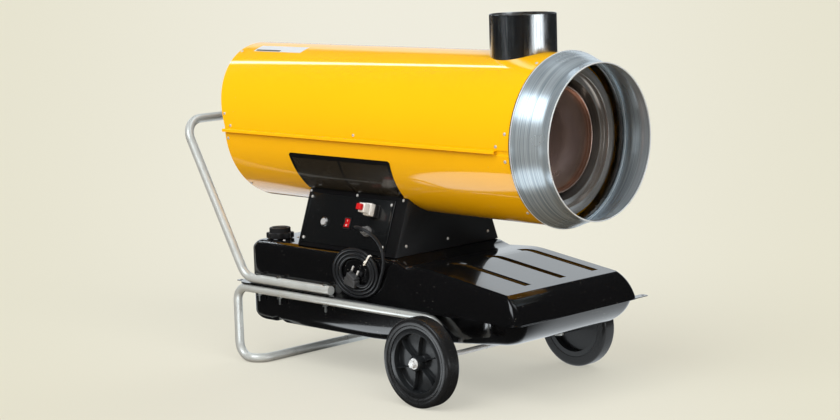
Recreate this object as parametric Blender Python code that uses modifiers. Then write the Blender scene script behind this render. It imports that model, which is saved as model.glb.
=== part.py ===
"""Indirect fired oil heater: casing, burner, tank trolley and controls.

The air flows along +X and leaves through the outlet cone, the controls face -Y, +Z is up.
The origin lies on the floor below the middle of the heater.
"""

import math

import bmesh
import bpy
from mathutils import Matrix, Vector

# Fits shared by all pieces
fit_gap = 0.0003
running_gap = 0.002
cut_overrun = 0.01
merge_distance = 0.00005
screw_sides = 6
sharp_edge_angle = math.radians(32)

# Lengths that add up to the length of the heater, with that of the casing
nozzle_length = 0.092
handle_grip_space = 0.1639

# Casing shells
casing_radius = 0.191
casing_wall = 0.0015
casing_length = 0.942
rear_slant = 0.0686
ledge_width = 0.0097
ledge_drop = 0.0062
lip_height = 0.0076
ledge_end_setback = 0.038
joggle_height = 0.022
casing_screw_radius = 0.0018
casing_screw_head_radius = 0.0038
casing_screw_head_height = 0.0022
casing_screw_length = 0.006
casing_facets = 44
casing_screw_inset_front = 0.015
casing_screw_inset_rear = 0.009
casing_screw_angles = [math.radians(a) for a in (-129, -171, 171, 115, 65, 9, -9, -51)]
seam_screw_shares = (0.023, 0.487, 0.958)

# Rings in the ends of the casing
ring_wall = 0.0015
ring_facets = 32
ring_depth = 0.026
rear_ring_depth = 0.045
front_ring_flange_radius = 0.1945
rear_ring_flange_width = 0.019

# Outlet cone
cone_back_radius = 0.1956
cone_lip = 0.003
cone_wall = 0.0013
cone_flange_inner_radius = 0.1885
collar_radius = 0.1725
collar_length = 0.024

# Combustion chamber and heat exchanger
chamber_radius = 0.1222
chamber_wall = 0.002
chamber_rear_clearance = 0.0817
chamber_front_setback = 0.033
chamber_rim_depth = 0.008
chamber_rim_width = 0.0055
chamber_dome_rise = 0.016
exchanger_outer_radius = 0.174
exchanger_inner_radius = 0.137
exchanger_wall = 0.002
exchanger_facets = 28
exchanger_front_setback = 0.013
exchanger_rear_clearance = 0.1107
exchanger_step_depth = 0.012
exchanger_step_radius = 0.152
duct_radius = 0.02
duct_wall = 0.0015
duct_setback = 0.05
duct_reach = 0.006
bracket_width = 0.018
bracket_length = 0.02
bracket_setback_front = 0.045
bracket_setback_rear = 0.1

# Flue
flue_radius = 0.075
flue_wall = 0.0015
flue_setback = 0.219
flue_rise = 0.0836
flue_dip = 0.01

# Fan, motor and burner
guard_radius = 0.186
guard_thickness = 0.002
guard_slot_rows = 4
guard_slots_per_row = 4
guard_slot_width = 0.024
guard_slot_pitch = 0.035
guard_slot_first_radius = 0.045
guard_spoke_width = 0.008
guard_screw_circle = 0.1805
shaft_radius = 0.006
shaft_length = 0.238
shaft_inset = 0.0341
fan_radius = 0.165
fan_hub_radius = 0.03
fan_hub_length = 0.034
fan_inset = 0.0541
fan_blades = 5
fan_blade_width = 0.07
fan_blade_thickness = 0.0022
fan_blade_pitch = math.radians(32)
fan_blade_root_share = 0.45
fan_blade_root_pitch_share = 1.25
fan_blade_tip_pitch_share = 0.9
motor_radius = 0.05
motor_length = 0.112
motor_inset = 0.0901
motor_end_radius_share = 0.86
motor_end_length_share = 0.08
motor_bracket_thickness = 0.004
motor_bracket_half_width = 0.06
motor_bracket_top_radius = 0.064
motor_bracket_inset = 0.012
burner_box_radius = 0.09
burner_box_length = 0.062
burner_box_wall = 0.0025
burner_inlet_radius = 0.03
burner_fan_radius = 0.065
burner_fan_width = 0.028
burner_fan_blades = 8
burner_fan_plate = 0.002
burner_fan_hub_radius = 0.014
burner_fan_blade_share = 0.4
burner_fan_blade_lean = math.radians(35)
burner_tube_radius = 0.034
burner_tube_wall = 0.002
burner_tube_length = 0.118
burner_tube_rise = 0.066
burner_tube_flange = 0.008
flame_disc_thickness = 0.002
flame_disc_setback = 0.02
nozzle_radius = 0.006
nozzle_reach = 0.008
nozzle_tip_share = 0.4
electrode_radius = 0.0018
electrode_offset = 0.015
electrode_spread = 0.007
electrode_block_length = 0.03
pump_radius = 0.027
pump_length = 0.05
pump_spigot_radius = 0.014
pump_spigot_length = 0.006

# Control housing
housing_length = 0.334
housing_height = 0.13216
housing_front_setback = 0.47
housing_wall = 0.002
housing_top_half_width = 0.126
housing_bottom_half_width = 0.174
housing_window_length = 0.24
housing_window_height = 0.076
panel_length = 0.292
panel_height = 0.121
panel_thickness = 0.002
panel_setback = 0.18
panel_rise = 0.0658
panel_screw_inset = 0.0105
panel_screw_radius = 0.0017
panel_screw_head_radius = 0.0036
panel_screw_head_height = 0.002
panel_screw_length = 0.008
housing_top_screw_drop = 0.006
housing_top_screw_shares = (0.02, 0.5, 0.96)
housing_front_screw_rise = 0.022
housing_front_screw_reach = 0.137

# Controls on the panel
reset_across = -0.075
reset_up = -0.007
bezel_radius = 0.0115
bezel_height = 0.003
bezel_stem_radius = 0.0095
reset_radius = 0.0085
reset_rise = 0.006
reset_stem_radius = 0.005
reset_travel = 0.0025
reset_crown_share = 0.7
bezel_wall_depth = 0.014
switch_across = 0.004
switch_up = -0.004
switch_width = 0.022
switch_height = 0.028
switch_frame_border = 0.0025
switch_frame_height = 0.0025
switch_body_depth = 0.016
switch_pocket_depth = 0.012
rocker_thickness = 0.007
rocker_clearance = 0.0008
rocker_tilt = math.radians(7)
rocker_pivot_depth = 0.0005
rocker_hollow_share = 0.4
socket_across = 0.087
socket_up = 0.029
socket_base_size = 0.030
socket_base_thickness = 0.0035
socket_shroud_width = 0.024
socket_shroud_height = 0.028
socket_shroud_length = 0.010
socket_pocket_depth = 0.009
socket_pocket_wall = 0.003
plug_block_width = 0.022
plug_block_height = 0.029
plug_block_length = 0.034
plug_cap_length = 0.010
plug_cap_width_share = 0.86
plug_cap_height_share = 0.8
plug_tongue_length = 0.007
gland_across = 0.077
gland_up = -0.017
gland_radius = 0.0125
gland_nut_length = 0.009
gland_dome_length = 0.011
gland_dome_radius = 0.0085
gland_dome_top_share = 0.75
gland_dome_shoulder_share = 0.4
gland_thread_radius = 0.008
gland_thread_length = 0.012

# Tank
tank_seam_height = 0.199
tank_sheet = 0.0015
tank_front_setback = 0.085
tank_rear_reach = 0.163
tank_half_width = 0.1855
tank_flange_width = 0.024
tank_flange_front = 0.018
tank_corner_radius = 0.022
tank_upper_edge_shares = {2: 0.4, 3: 0.6, 4: 0.25}
tank_lower_edge_shares = {2: 0.5, 3: 0.5}
tank_top_height = 0.3044
tank_step_ahead = 0.028
tank_step_length = 0.038
tank_step_drop = 0.0194
tank_crease_setback = 0.021
tank_crease_height = 0.258
tank_bottom_height = 0.105
tank_bottom_slope_length = 0.455
tank_bottom_front_setback = 0.047
tank_bottom_front_height = 0.143
drain_ahead = 0.087
drain_recess_radius = 0.022
drain_recess_rise = 0.003
drain_recess_width = 0.05
drain_hole_radius = 0.008
drain_head_radius = 0.0125
drain_head_height = 0.007
drain_thread_length = 0.012

# Filler
filler_ahead = 0.051
filler_y = -0.130
neck_radius = 0.0215
neck_wall = 0.002
neck_flange_radius = 0.031
neck_flange_thickness = 0.0015
neck_rise = 0.014
neck_dip = 0.012
cap_radius = 0.0285
cap_ear_radius = 0.0345
cap_height = 0.027
cap_wall = 0.003
cap_lobes = 8
cap_skirt_height = 0.013

# Tube frame
tube_radius = 0.011
tube_sides = 10
tube_offset = 0.198
handle_bar_height = 0.587
handle_end_ahead = 0.3025
handle_lower_behind = 0.0046
handle_lower_bend = 0.05
handle_upper_bend = 0.055
stand_rear_behind = 0.039
stand_foot_ahead = 0.035
stand_rear_bend = 0.037
stand_foot_bend = 0.034
stand_front_bend = 0.05
stand_end_drop = 0.017
bolt_radius = 0.003
bolt_head_radius = 0.0062
bolt_head_height = 0.004
bolt_tail = 0.019
bolt_nut_radius = 0.0066
bolt_nut_height = 0.005
frame_bolt_spots = (0.042, 0.118, 0.282)
tab_length = 0.03
tab_width = 0.02
tab_hole_radius = 0.004
tab_hole_share = 0.65

# Axle and wheels
axle_setback = 0.22
axle_radius = 0.006
wheel_radius = 0.1014
wheel_width = 0.044
wheel_outer_face = 0.2864
wheel_segments = 24
tyre_inner_radius = 0.0785
tyre_shoulder = 0.007
rim_inner_radius = 0.066
rim_inset = 0.004
web_thickness = 0.004
hub_boss_radius = 0.017
rib_count = 6
rib_thickness = 0.004
rib_depth = 0.012
rib_overlap = 0.0012
rib_lean = math.radians(24)
rib_turn_share = 0.25
washer_radius = 0.0125
washer_thickness = 0.002
axle_nut_radius = 0.0095
axle_nut_height = 0.008

# Pieces inside the control housing
tray_thickness = 0.0015
tray_margin = 0.004
transformer_size = Vector((0.070, 0.060, 0.050))
transformer_setback = 0.24
transformer_y = 0.085
control_box_size = Vector((0.060, 0.055, 0.060))
control_box_setback = 0.1
control_box_y = 0.085
filter_radius = 0.018
filter_height = 0.05
filter_setback = 0.225
filter_y = 0.03
pipe_radius = 0.004
pipe_bottom_gap = 0.012
pipe_hole_clearance = 0.0006
pump_port_ahead = 0.0257
hose_bow = 0.03

# Power cord
cord_radius = 0.0039
coil_steps = 74
coil_points_per_turn = 24
coil_pitch_across = 0.0118
coil_pitch_up = 0.0088
coil_half_width = 0.0885
coil_half_height = 0.065
coil_setback = 0.0105
coil_wall_gap = 0.0018
coil_start_angle = math.radians(62)
tail_points = 6
tail_slack = 1.5
lead_slack = 1.5
lead_points = 9
plug_entry_ahead = 0.0135
plug_entry_drop = 0.0246
plug_rise = math.radians(14)
tie_thickness = 0.001
tie_ease = 0.0009
tie_width = 0.0045
tie_angle = math.radians(50)
plug_body_length = 0.036
plug_body_height = 0.018
plug_body_thickness = 0.019
plug_edge_radius = 0.003
plug_corner_share = 0.3
plug_face_length = 0.028
plug_face_height = 0.013
plug_pin_radius = 0.0024
plug_pin_length = 0.011
plug_sleeve_radius = 0.0036
plug_sleeve_length = 0.008
plug_pin_spacing = 0.019
plug_pin_lean = math.radians(30)

# Planes and places worked out from the sizes above
housing_base_z = tank_top_height + fit_gap
housing_top_z = housing_base_z + housing_height
axis_height = housing_top_z + math.sqrt(casing_radius**2 - housing_top_half_width**2)
flue_top_height = axis_height + casing_radius + flue_rise
overall_length = nozzle_length + ring_wall + 2 * fit_gap + casing_length + handle_grip_space
outlet_front_x = overall_length / 2
handle_bar_x = tube_radius - overall_length / 2
cone_back_x = outlet_front_x - nozzle_length
casing_front_x = cone_back_x - ring_wall - 2 * fit_gap
casing_rear_x = casing_front_x - casing_length
casing_inner_radius = casing_radius - casing_wall
casing_clear_radius = casing_inner_radius * math.cos(math.pi / casing_facets) - fit_gap
band_radius = casing_clear_radius - casing_wall - 2 * fit_gap
ring_seat_depth = casing_radius - (band_radius - ring_wall / 2) * math.cos(math.pi / ring_facets)
rear_ring_rear_x = casing_rear_x + guard_thickness + fit_gap
ledge_z = axis_height - ledge_drop
seam_screw_z = ledge_z + 2 * casing_screw_head_radius
fan_x = casing_rear_x + fan_inset
shaft_rear_x = casing_rear_x + shaft_inset
shaft_front_x = shaft_rear_x + shaft_length
motor_rear_x = casing_rear_x + motor_inset
motor_front_x = motor_rear_x + motor_length
burner_box_rear_x = motor_front_x + fit_gap
burner_box_front_x = burner_box_rear_x + burner_box_length
burner_tube_z = axis_height + burner_tube_rise
pump_port_x = burner_box_front_x + pump_port_ahead
chamber_front_x = cone_back_x - chamber_front_setback
chamber_rear_x = burner_box_front_x + chamber_rear_clearance
exchanger_front_x = cone_back_x - exchanger_front_setback
exchanger_rear_x = burner_box_front_x + exchanger_rear_clearance
flue_x = outlet_front_x - flue_setback
housing_front_x = outlet_front_x - housing_front_setback
housing_rear_x = housing_front_x - housing_length
panel_x = housing_front_x - panel_setback
panel_z = housing_base_z + panel_rise
reset_x = panel_x + reset_across
reset_z = panel_z + reset_up
switch_x = panel_x + switch_across
switch_z = panel_z + switch_up
socket_x = panel_x + socket_across
socket_z = panel_z + socket_up
gland_x = panel_x + gland_across
gland_z = panel_z + gland_up
transformer_x = housing_front_x - transformer_setback
control_box_x = housing_front_x - control_box_setback
filter_x = housing_front_x - filter_setback
coil_x = gland_x - coil_setback
tank_front_x = outlet_front_x - tank_front_setback
tank_rear_x = housing_rear_x - tank_rear_reach
tank_step_x = housing_front_x + tank_step_ahead
tank_bottom_bend_x = tank_front_x - tank_bottom_slope_length
drain_x = tank_rear_x + drain_ahead
filler_x = tank_rear_x + filler_ahead
tank_upper_plane = tank_seam_height + fit_gap / 2
tank_lower_plane = tank_seam_height - fit_gap / 2
tube_flat = tube_radius * math.cos(math.pi / tube_sides)
handle_z = tank_upper_plane + tank_sheet + fit_gap + tube_flat
handle_end_x = tank_rear_x + handle_end_ahead
handle_lower_x = tank_rear_x - handle_lower_behind
stand_z = tank_lower_plane - tank_sheet - fit_gap - tube_flat
stand_rear_x = tank_rear_x - stand_rear_behind
stand_foot_x = tank_rear_x + stand_foot_ahead
frame_bolt_xs = [tank_rear_x + spot for spot in frame_bolt_spots]
axle_x = tank_front_x - axle_setback

heater_parts = bpy.data.collections.new("indirect_fired_heater")
heater_cutters = bpy.data.collections.new("cutters")


# Materials

def make_material(name, colour, roughness, metallic=0.0):
    material = bpy.data.materials.new(name)
    material.use_nodes = True
    shader = material.node_tree.nodes["Principled BSDF"]
    shader.inputs["Base Color"].default_value = (*colour, 1.0)
    shader.inputs["Roughness"].default_value = roughness
    shader.inputs["Metallic"].default_value = metallic
    return material


yellow_paint = make_material("yellow_paint", (0.90, 0.50, 0.01), 0.25)
black_paint = make_material("black_paint", (0.012, 0.012, 0.013), 0.22)
black_sheet = make_material("black_sheet", (0.03, 0.03, 0.032), 0.45)
galvanised = make_material("galvanised", (0.62, 0.66, 0.68), 0.35, 1.0)
stainless = make_material("stainless", (0.55, 0.55, 0.54), 0.18, 1.0)
heated_steel = make_material("heated_steel", (0.33, 0.20, 0.14), 0.38, 1.0)
exchanger_steel = make_material("exchanger_steel", (0.50, 0.46, 0.42), 0.30, 1.0)
zinc = make_material("zinc", (0.72, 0.74, 0.76), 0.30, 1.0)
rubber = make_material("rubber", (0.025, 0.025, 0.027), 0.75)
black_plastic = make_material("black_plastic", (0.03, 0.03, 0.03), 0.5)
grey_plastic = make_material("grey_plastic", (0.33, 0.34, 0.35), 0.5)
white_plastic = make_material("white_plastic", (0.78, 0.77, 0.73), 0.4)
red_plastic = make_material("red_plastic", (0.62, 0.02, 0.02), 0.35)
motor_paint = make_material("motor_paint", (0.10, 0.11, 0.12), 0.5)
copper = make_material("copper", (0.72, 0.36, 0.22), 0.3, 1.0)


# Shape helpers

def clear_scene():
    for item in list(bpy.data.objects):
        bpy.data.objects.remove(item, do_unlink=True)
    bpy.context.scene.collection.children.link(heater_parts)
    bpy.context.scene.collection.children.link(heater_cutters)


def add_object(name, mesh, material, matrix=None):
    item = bpy.data.objects.new(name, mesh)
    if matrix is not None:
        item.matrix_world = matrix
    if material is None:
        heater_cutters.objects.link(item)
        item.hide_render = True
        item.display_type = "WIRE"
    else:
        heater_parts.objects.link(item)
        mesh.materials.append(material)
    return item


def finish_mesh(bm, name, flat=False):
    bmesh.ops.recalc_face_normals(bm, faces=bm.faces)
    mesh = bpy.data.meshes.new(name)
    bm.to_mesh(mesh)
    bm.free()
    if not flat:
        mesh.shade_smooth()
        mesh.set_sharp_from_angle(angle=sharp_edge_angle)
    return mesh


def frame_of(direction, location, roll_hint=Vector((0, 0, 1))):
    """World matrix whose local Z points along the direction."""
    z_axis = Vector(direction).normalized()
    hint = Vector(roll_hint)
    if abs(z_axis.dot(hint)) > 0.99:
        hint = Vector((1, 0, 0))
    x_axis = hint.cross(z_axis).normalized()
    y_axis = z_axis.cross(x_axis)
    turn = Matrix((x_axis, y_axis, z_axis)).transposed().to_4x4()
    return Matrix.Translation(Vector(location)) @ turn


along_x = frame_of((1, 0, 0), (0, 0, axis_height))


def hole_radius(radius, segments):
    """Corner radius of a faceted hole whose flats still clear a round piece."""
    return (radius + fit_gap) / math.cos(math.pi / segments)


def add_box(bm, size, centre, matrix=None):
    made = bmesh.ops.create_cube(bm, size=1.0)["verts"]
    bmesh.ops.scale(bm, vec=Vector(size), verts=made)
    bmesh.ops.translate(bm, vec=Vector(centre), verts=made)
    if matrix is not None:
        bmesh.ops.transform(bm, matrix=matrix, verts=made)
    return made


def add_rod(bm, start, end, radius, segments=12, end_radius=None):
    start = Vector(start)
    end = Vector(end)
    matrix = frame_of(end - start, (start + end) / 2)
    turn = Matrix.Rotation(math.pi / segments, 4, "Z")
    far = radius if end_radius is None else end_radius
    made = bmesh.ops.create_cone(
        bm, cap_ends=True, segments=segments, radius1=radius, radius2=far,
        depth=(end - start).length, matrix=matrix @ turn)
    return made["verts"]


def box(name, size, centre, material, matrix=None):
    bm = bmesh.new()
    add_box(bm, size, centre)
    return add_object(name, finish_mesh(bm, name, flat=True), material, matrix)


def rods(name, runs, material, segments=12, matrix=None):
    """Straight rods, each given as start, end and radius."""
    bm = bmesh.new()
    for start, end, radius in runs:
        add_rod(bm, start, end, radius, segments)
    return add_object(name, finish_mesh(bm, name), material, matrix)


def turned(name, loops, material, steps=32, matrix=along_x):
    """Profiles of (radius, height) turned round local Z, listed down the outer side."""
    mesh = bpy.data.meshes.new(name)
    points = []
    edges = []
    for loop in loops:
        first = len(points)
        points += [(radius, 0, height) for radius, height in loop]
        edges += [(first + i, first + i + 1) for i in range(len(loop) - 1)]
        if loop[0][0] > 0 or loop[-1][0] > 0:
            edges.append((len(points) - 1, first))
    mesh.from_pydata(points, edges, [])
    item = add_object(name, mesh, material, matrix)
    screw = item.modifiers.new("turn", "SCREW")
    screw.steps = steps
    screw.render_steps = steps
    screw.use_merge_vertices = True
    screw.merge_threshold = merge_distance
    screw.use_smooth_shade = True
    return item


def flat_outline(name, outlines, thickness, material, matrix):
    """Closed outlines filled and thickened, centred on local Z."""
    curve = bpy.data.curves.new(name, "CURVE")
    curve.dimensions = "2D"
    curve.fill_mode = "BOTH"
    curve.extrude = thickness / 2
    for outline in outlines:
        spline = curve.splines.new("POLY")
        spline.points.add(len(outline) - 1)
        spline.use_cyclic_u = True
        for point, (x, y) in zip(spline.points, outline):
            point.co = (x, y, 0, 1)
    item = bpy.data.objects.new(name, curve)
    item.matrix_world = matrix
    heater_parts.objects.link(item)
    curve.materials.append(material)
    return item


def tube(name, route, radius, material, resolution=2, tilt=0.0):
    curve = bpy.data.curves.new(name, "CURVE")
    curve.dimensions = "3D"
    curve.bevel_depth = radius
    curve.bevel_resolution = resolution
    curve.use_fill_caps = True
    spline = curve.splines.new("POLY")
    spline.points.add(len(route) - 1)
    for point, place in zip(spline.points, route):
        point.co = (*place, 1)
        point.tilt = tilt
    item = bpy.data.objects.new(name, curve)
    heater_parts.objects.link(item)
    curve.materials.append(material)
    return item


def as_mesh(item):
    """Replace a curve, or an object with modifiers, by its evaluated mesh."""
    bpy.context.view_layer.update()
    evaluated = item.evaluated_get(bpy.context.evaluated_depsgraph_get())
    mesh = bpy.data.meshes.new_from_object(evaluated)
    bm = bmesh.new()
    bm.from_mesh(mesh)
    bmesh.ops.remove_doubles(bm, verts=bm.verts, dist=merge_distance)
    bm.to_mesh(mesh)
    bm.free()
    name = item.name
    matrix = item.matrix_world.copy()
    home = item.users_collection[0]
    wire = item.display_type
    bpy.data.objects.remove(item, do_unlink=True)
    mesh.name = name
    made = bpy.data.objects.new(name, mesh)
    made.matrix_world = matrix
    made.display_type = wire
    made.hide_render = home is heater_cutters
    home.objects.link(made)
    return made


def boolean(item, cutter, operation="DIFFERENCE"):
    modifier = item.modifiers.new(operation.lower(), "BOOLEAN")
    modifier.operation = operation
    modifier.object = cutter
    modifier.solver = "EXACT"
    return item


def hide_tool(item):
    """Make a finished solid a helper that only cuts or joins."""
    heater_parts.objects.unlink(item)
    heater_cutters.objects.link(item)
    item.hide_render = True
    item.display_type = "WIRE"
    return item


def arc(radius, start, end, steps, centre=(0, 0)):
    places = []
    for i in range(steps + 1):
        angle = start + (end - start) * i / steps
        places.append((centre[0] + radius * math.cos(angle), centre[1] + radius * math.sin(angle)))
    return places


def rounded_route(corners, radii, steps=5):
    """Polyline through the corners, each inner one turned on its radius.

    A point in the middle of each straight keeps the tube's facets from twisting there.
    """
    corners = [Vector(corner) for corner in corners]
    route = [corners[0]]
    for i, radius in enumerate(radii, start=1):
        here = corners[i]
        back = (corners[i - 1] - here).normalized()
        ahead = (corners[i + 1] - here).normalized()
        half = back.angle(ahead) / 2
        reach = radius / math.tan(half)
        middle = (back + ahead).normalized()
        centre = here + middle * (radius / math.sin(half))
        start = here + back * reach - centre
        end = here + ahead * reach - centre
        if i > 1:
            route.append((route[-1] + centre + start) / 2)
        sweep = start.angle(end)
        for k in range(steps + 1):
            share = k / steps
            first = math.sin((1 - share) * sweep) / math.sin(sweep)
            last = math.sin(share * sweep) / math.sin(sweep)
            route.append(centre + start * first + end * last)
    route.append(corners[-1])
    return route


def screw_tools(name, seats, radius, head_radius, head_height, length, under=fit_gap):
    """Screws, each seated at a point with its head's outward direction."""
    bm = bmesh.new()
    for seat, outward in seats:
        outline = head_outline(head_radius, head_height, radius, length, under)
        add_turned_solid(bm, outline, frame_of(outward, seat), screw_sides)
    return add_object(name, finish_mesh(bm, name), None)


def head_outline(head_radius, head_height, radius, length, under):
    if length < under:
        return [(0, head_height), (head_radius, head_height), (head_radius, -length), (0, -length)]
    return [
        (0, head_height), (head_radius, head_height), (head_radius, under),
        (radius, under), (radius, -length), (0, -length)]


def add_turned_solid(bm, outline, matrix, segments):
    """A closed turned solid whose outline runs from the axis back to the axis."""
    rings = []
    for radius, height in outline:
        if radius == 0:
            rings.append([bm.verts.new(matrix @ Vector((0, 0, height)))])
            continue
        ring = []
        for i in range(segments):
            angle = math.tau * (i + 0.5) / segments
            place = Vector((radius * math.cos(angle), radius * math.sin(angle), height))
            ring.append(bm.verts.new(matrix @ place))
        rings.append(ring)
    for upper, lower in zip(rings, rings[1:]):
        for i in range(segments):
            j = (i + 1) % segments
            corners = [upper[i % len(upper)], lower[i % len(lower)],
                       lower[j % len(lower)], upper[j % len(upper)]]
            unique = [v for k, v in enumerate(corners) if v not in corners[:k]]
            bm.faces.new(unique)


def hole_pins(name, seats, radius, reach, segments=screw_sides):
    """Cutter pins through the seats, longer than the walls that they pierce."""
    runs = []
    for seat, outward in seats:
        seat = Vector(seat)
        outward = Vector(outward).normalized()
        runs.append((seat + outward * cut_overrun, seat - outward * (reach + cut_overrun),
                     hole_radius(radius, segments)))
    return rods(name, runs, None, segments)


def casing_place(angle, radius, x):
    return Vector((x, radius * math.cos(angle), axis_height + radius * math.sin(angle)))


def casing_outward(angle):
    return Vector((0, math.cos(angle), math.sin(angle)))


# Casing

def sheet_along_x(name, section, start_x, end_x, wall, material, slant=0.0):
    """A section of (y, z) points drawn along X and thickened inwards."""
    bm = bmesh.new()
    first = [bm.verts.new((start_x, y, z)) for y, z in section]
    edges = [bm.edges.new(pair) for pair in zip(first, first[1:])]
    grown = bmesh.ops.extrude_edge_only(bm, edges=edges)["geom"]
    far = [v for v in grown if isinstance(v, bmesh.types.BMVert)]
    bmesh.ops.translate(bm, vec=(end_x - start_x, 0, 0), verts=far)
    if slant:
        for vert in first:
            vert.co.x -= slant * max(0.0, vert.co.z - axis_height) / casing_radius
    mesh = bpy.data.meshes.new(name)
    bm.to_mesh(mesh)
    bm.free()
    item = add_object(name, mesh, material)
    solidify = item.modifiers.new("sheet", "SOLIDIFY")
    solidify.thickness = wall
    solidify.offset = -1
    solidify.use_even_offset = True
    return item


def seam_seats():
    seats = []
    for side in (-1, 1):
        for share in seam_screw_shares:
            x = casing_rear_x + share * casing_length
            rise = seam_screw_z - axis_height
            y = side * math.sqrt(casing_radius**2 - rise**2)
            seats.append((Vector((x, y, seam_screw_z)), Vector((0, y, rise))))
    return seats


def end_seats(x):
    return [(casing_place(a, casing_radius, x), casing_outward(a)) for a in casing_screw_angles]


def front_seats():
    return end_seats(casing_front_x - casing_screw_inset_front)


def rear_seats():
    return end_seats(casing_rear_x + casing_screw_inset_rear)


def casing_screws(name, seats, length):
    return screw_tools(name, seats, casing_screw_radius, casing_screw_head_radius,
                       casing_screw_head_height, length)


def guard_seats():
    rear_x = rear_ring_rear_x - fit_gap - guard_thickness
    corners = [math.radians(a) for a in (45, 135, 225, 315)]
    return [(casing_place(a, guard_screw_circle, rear_x), Vector((-1, 0, 0))) for a in corners]


def build_casing():
    edge_angle = math.asin(ledge_drop / casing_radius)
    upper = [(-casing_radius - ledge_width, ledge_z - lip_height)]
    upper.append((-casing_radius - ledge_width, ledge_z))
    upper += arc(casing_radius, math.pi + edge_angle, -edge_angle, casing_facets // 2, (0, axis_height))
    upper.append((casing_radius + ledge_width, ledge_z))
    upper.append((casing_radius + ledge_width, ledge_z - lip_height))
    upper_casing = sheet_along_x(
        "upper_casing", upper, casing_rear_x, casing_front_x, casing_wall, yellow_paint, rear_slant)

    low_top_z = ledge_z - casing_wall - fit_gap
    low_angle = math.asin((axis_height - low_top_z) / casing_radius)
    joggle_radius = casing_clear_radius
    joggle_low = math.asin((axis_height - low_top_z) / joggle_radius)
    joggle_high = math.asin((low_top_z + joggle_height - axis_height) / joggle_radius)
    lower = arc(joggle_radius, joggle_high, -joggle_low, 2, (0, axis_height))
    lower += arc(casing_radius, -low_angle, low_angle - math.pi, casing_facets // 2, (0, axis_height))
    lower += arc(joggle_radius, joggle_low - math.pi, -math.pi - joggle_high, 2, (0, axis_height))
    lower_casing = sheet_along_x(
        "lower_casing", lower, casing_rear_x, casing_front_x, casing_wall, yellow_paint)

    joggle_depth = casing_radius - joggle_radius
    ledge_cutter = bmesh.new()
    ledge_size = (ledge_end_setback + cut_overrun, ledge_width + cut_overrun, lip_height * 4)
    for side in (-1, 1):
        middle = (casing_front_x - (ledge_end_setback - cut_overrun) / 2,
                  side * (casing_radius + fit_gap + ledge_size[1] / 2), ledge_z)
        add_box(ledge_cutter, ledge_size, middle)
    ledge_ends = add_object("ledge_ends", finish_mesh(ledge_cutter, "ledge_ends"), None)
    flue_hole = rods(
        "flue_hole",
        [((flue_x, 0, axis_height + exchanger_inner_radius + 2 * exchanger_wall),
          (flue_x, 0, flue_top_height), hole_radius(flue_radius, 32))], None, 32)
    holes = hole_pins(
        "casing_screw_holes", front_seats() + rear_seats(), casing_screw_radius, casing_screw_length)
    seam_holes = hole_pins("seam_screw_holes", seam_seats(), casing_screw_radius, casing_wall)
    boolean(upper_casing, ledge_ends)
    boolean(upper_casing, flue_hole)
    boolean(upper_casing, holes)
    boolean(upper_casing, seam_holes)
    boolean(lower_casing, holes)
    hose_hole = rods(
        "hose_hole",
        [((filter_x, filter_y, axis_height), (filter_x, filter_y, housing_base_z),
          pipe_radius + pipe_hole_clearance)], None, 8)
    boolean(lower_casing, hose_hole)
    seam_screws = casing_screws("seam_screws", seam_seats(), joggle_depth + casing_wall / 2)
    boolean(lower_casing, seam_screws, "UNION")
    return flue_hole


def build_rings():
    flange_front = cone_back_x - fit_gap
    flange_back = flange_front - ring_wall
    front = [
        (front_ring_flange_radius, flange_front), (front_ring_flange_radius, flange_back),
        (band_radius, flange_back), (band_radius, flange_back - ring_depth),
        (band_radius - ring_wall, flange_back - ring_depth), (band_radius - ring_wall, flange_front)]
    front_ring = turned("front_ring", [front], galvanised, ring_facets)
    boolean(front_ring, casing_screws("front_screws", front_seats(), ring_seat_depth), "UNION")
    rear_end = rear_ring_rear_x
    rear = [
        (band_radius, rear_end + rear_ring_depth), (band_radius, rear_end),
        (band_radius - rear_ring_flange_width, rear_end),
        (band_radius - rear_ring_flange_width, rear_end + ring_wall),
        (band_radius - ring_wall, rear_end + ring_wall),
        (band_radius - ring_wall, rear_end + rear_ring_depth)]
    rear_ring = turned("rear_ring", [rear], galvanised, ring_facets)
    boolean(rear_ring, casing_screws("rear_screws", rear_seats(), ring_seat_depth), "UNION")
    guard_screws = casing_screws("guard_screws", guard_seats(), guard_thickness + ring_wall / 2)
    boolean(rear_ring, guard_screws, "UNION")


def build_outlet_cone():
    collar_back = outlet_front_x - collar_length
    cone = [
        (collar_radius, outlet_front_x), (collar_radius, collar_back),
        (cone_back_radius, cone_back_x + cone_lip), (cone_back_radius, cone_back_x),
        (cone_flange_inner_radius, cone_back_x), (cone_flange_inner_radius, cone_back_x + cone_wall),
        (cone_back_radius - cone_wall, cone_back_x + cone_wall),
        (cone_back_radius - cone_wall, cone_back_x + cone_lip),
        (collar_radius - cone_wall, collar_back), (collar_radius - cone_wall, outlet_front_x)]
    turned("outlet_cone", [cone], galvanised, ring_facets)


# Combustion chamber, heat exchanger and flue

def chamber_profile():
    rim_inner = chamber_radius - chamber_rim_width
    seat_x = chamber_front_x - chamber_rim_depth
    dome = []
    for i in range(3):
        share = i / 2
        dome.append((rim_inner * share, seat_x + chamber_dome_rise * (1 - share**2)))
    outer = dome + [
        (rim_inner, chamber_front_x), (chamber_radius, chamber_front_x),
        (chamber_radius, chamber_rear_x), (0, chamber_rear_x)]
    cavity_radius = chamber_radius - chamber_wall
    cavity_front = seat_x - chamber_wall
    cavity = [(0, chamber_rear_x + chamber_wall), (cavity_radius, chamber_rear_x + chamber_wall),
              (cavity_radius, cavity_front)]
    cavity += [(radius * cavity_radius / rim_inner, height - chamber_wall)
               for radius, height in reversed(dome[:-1])]
    return [outer, cavity]


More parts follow.
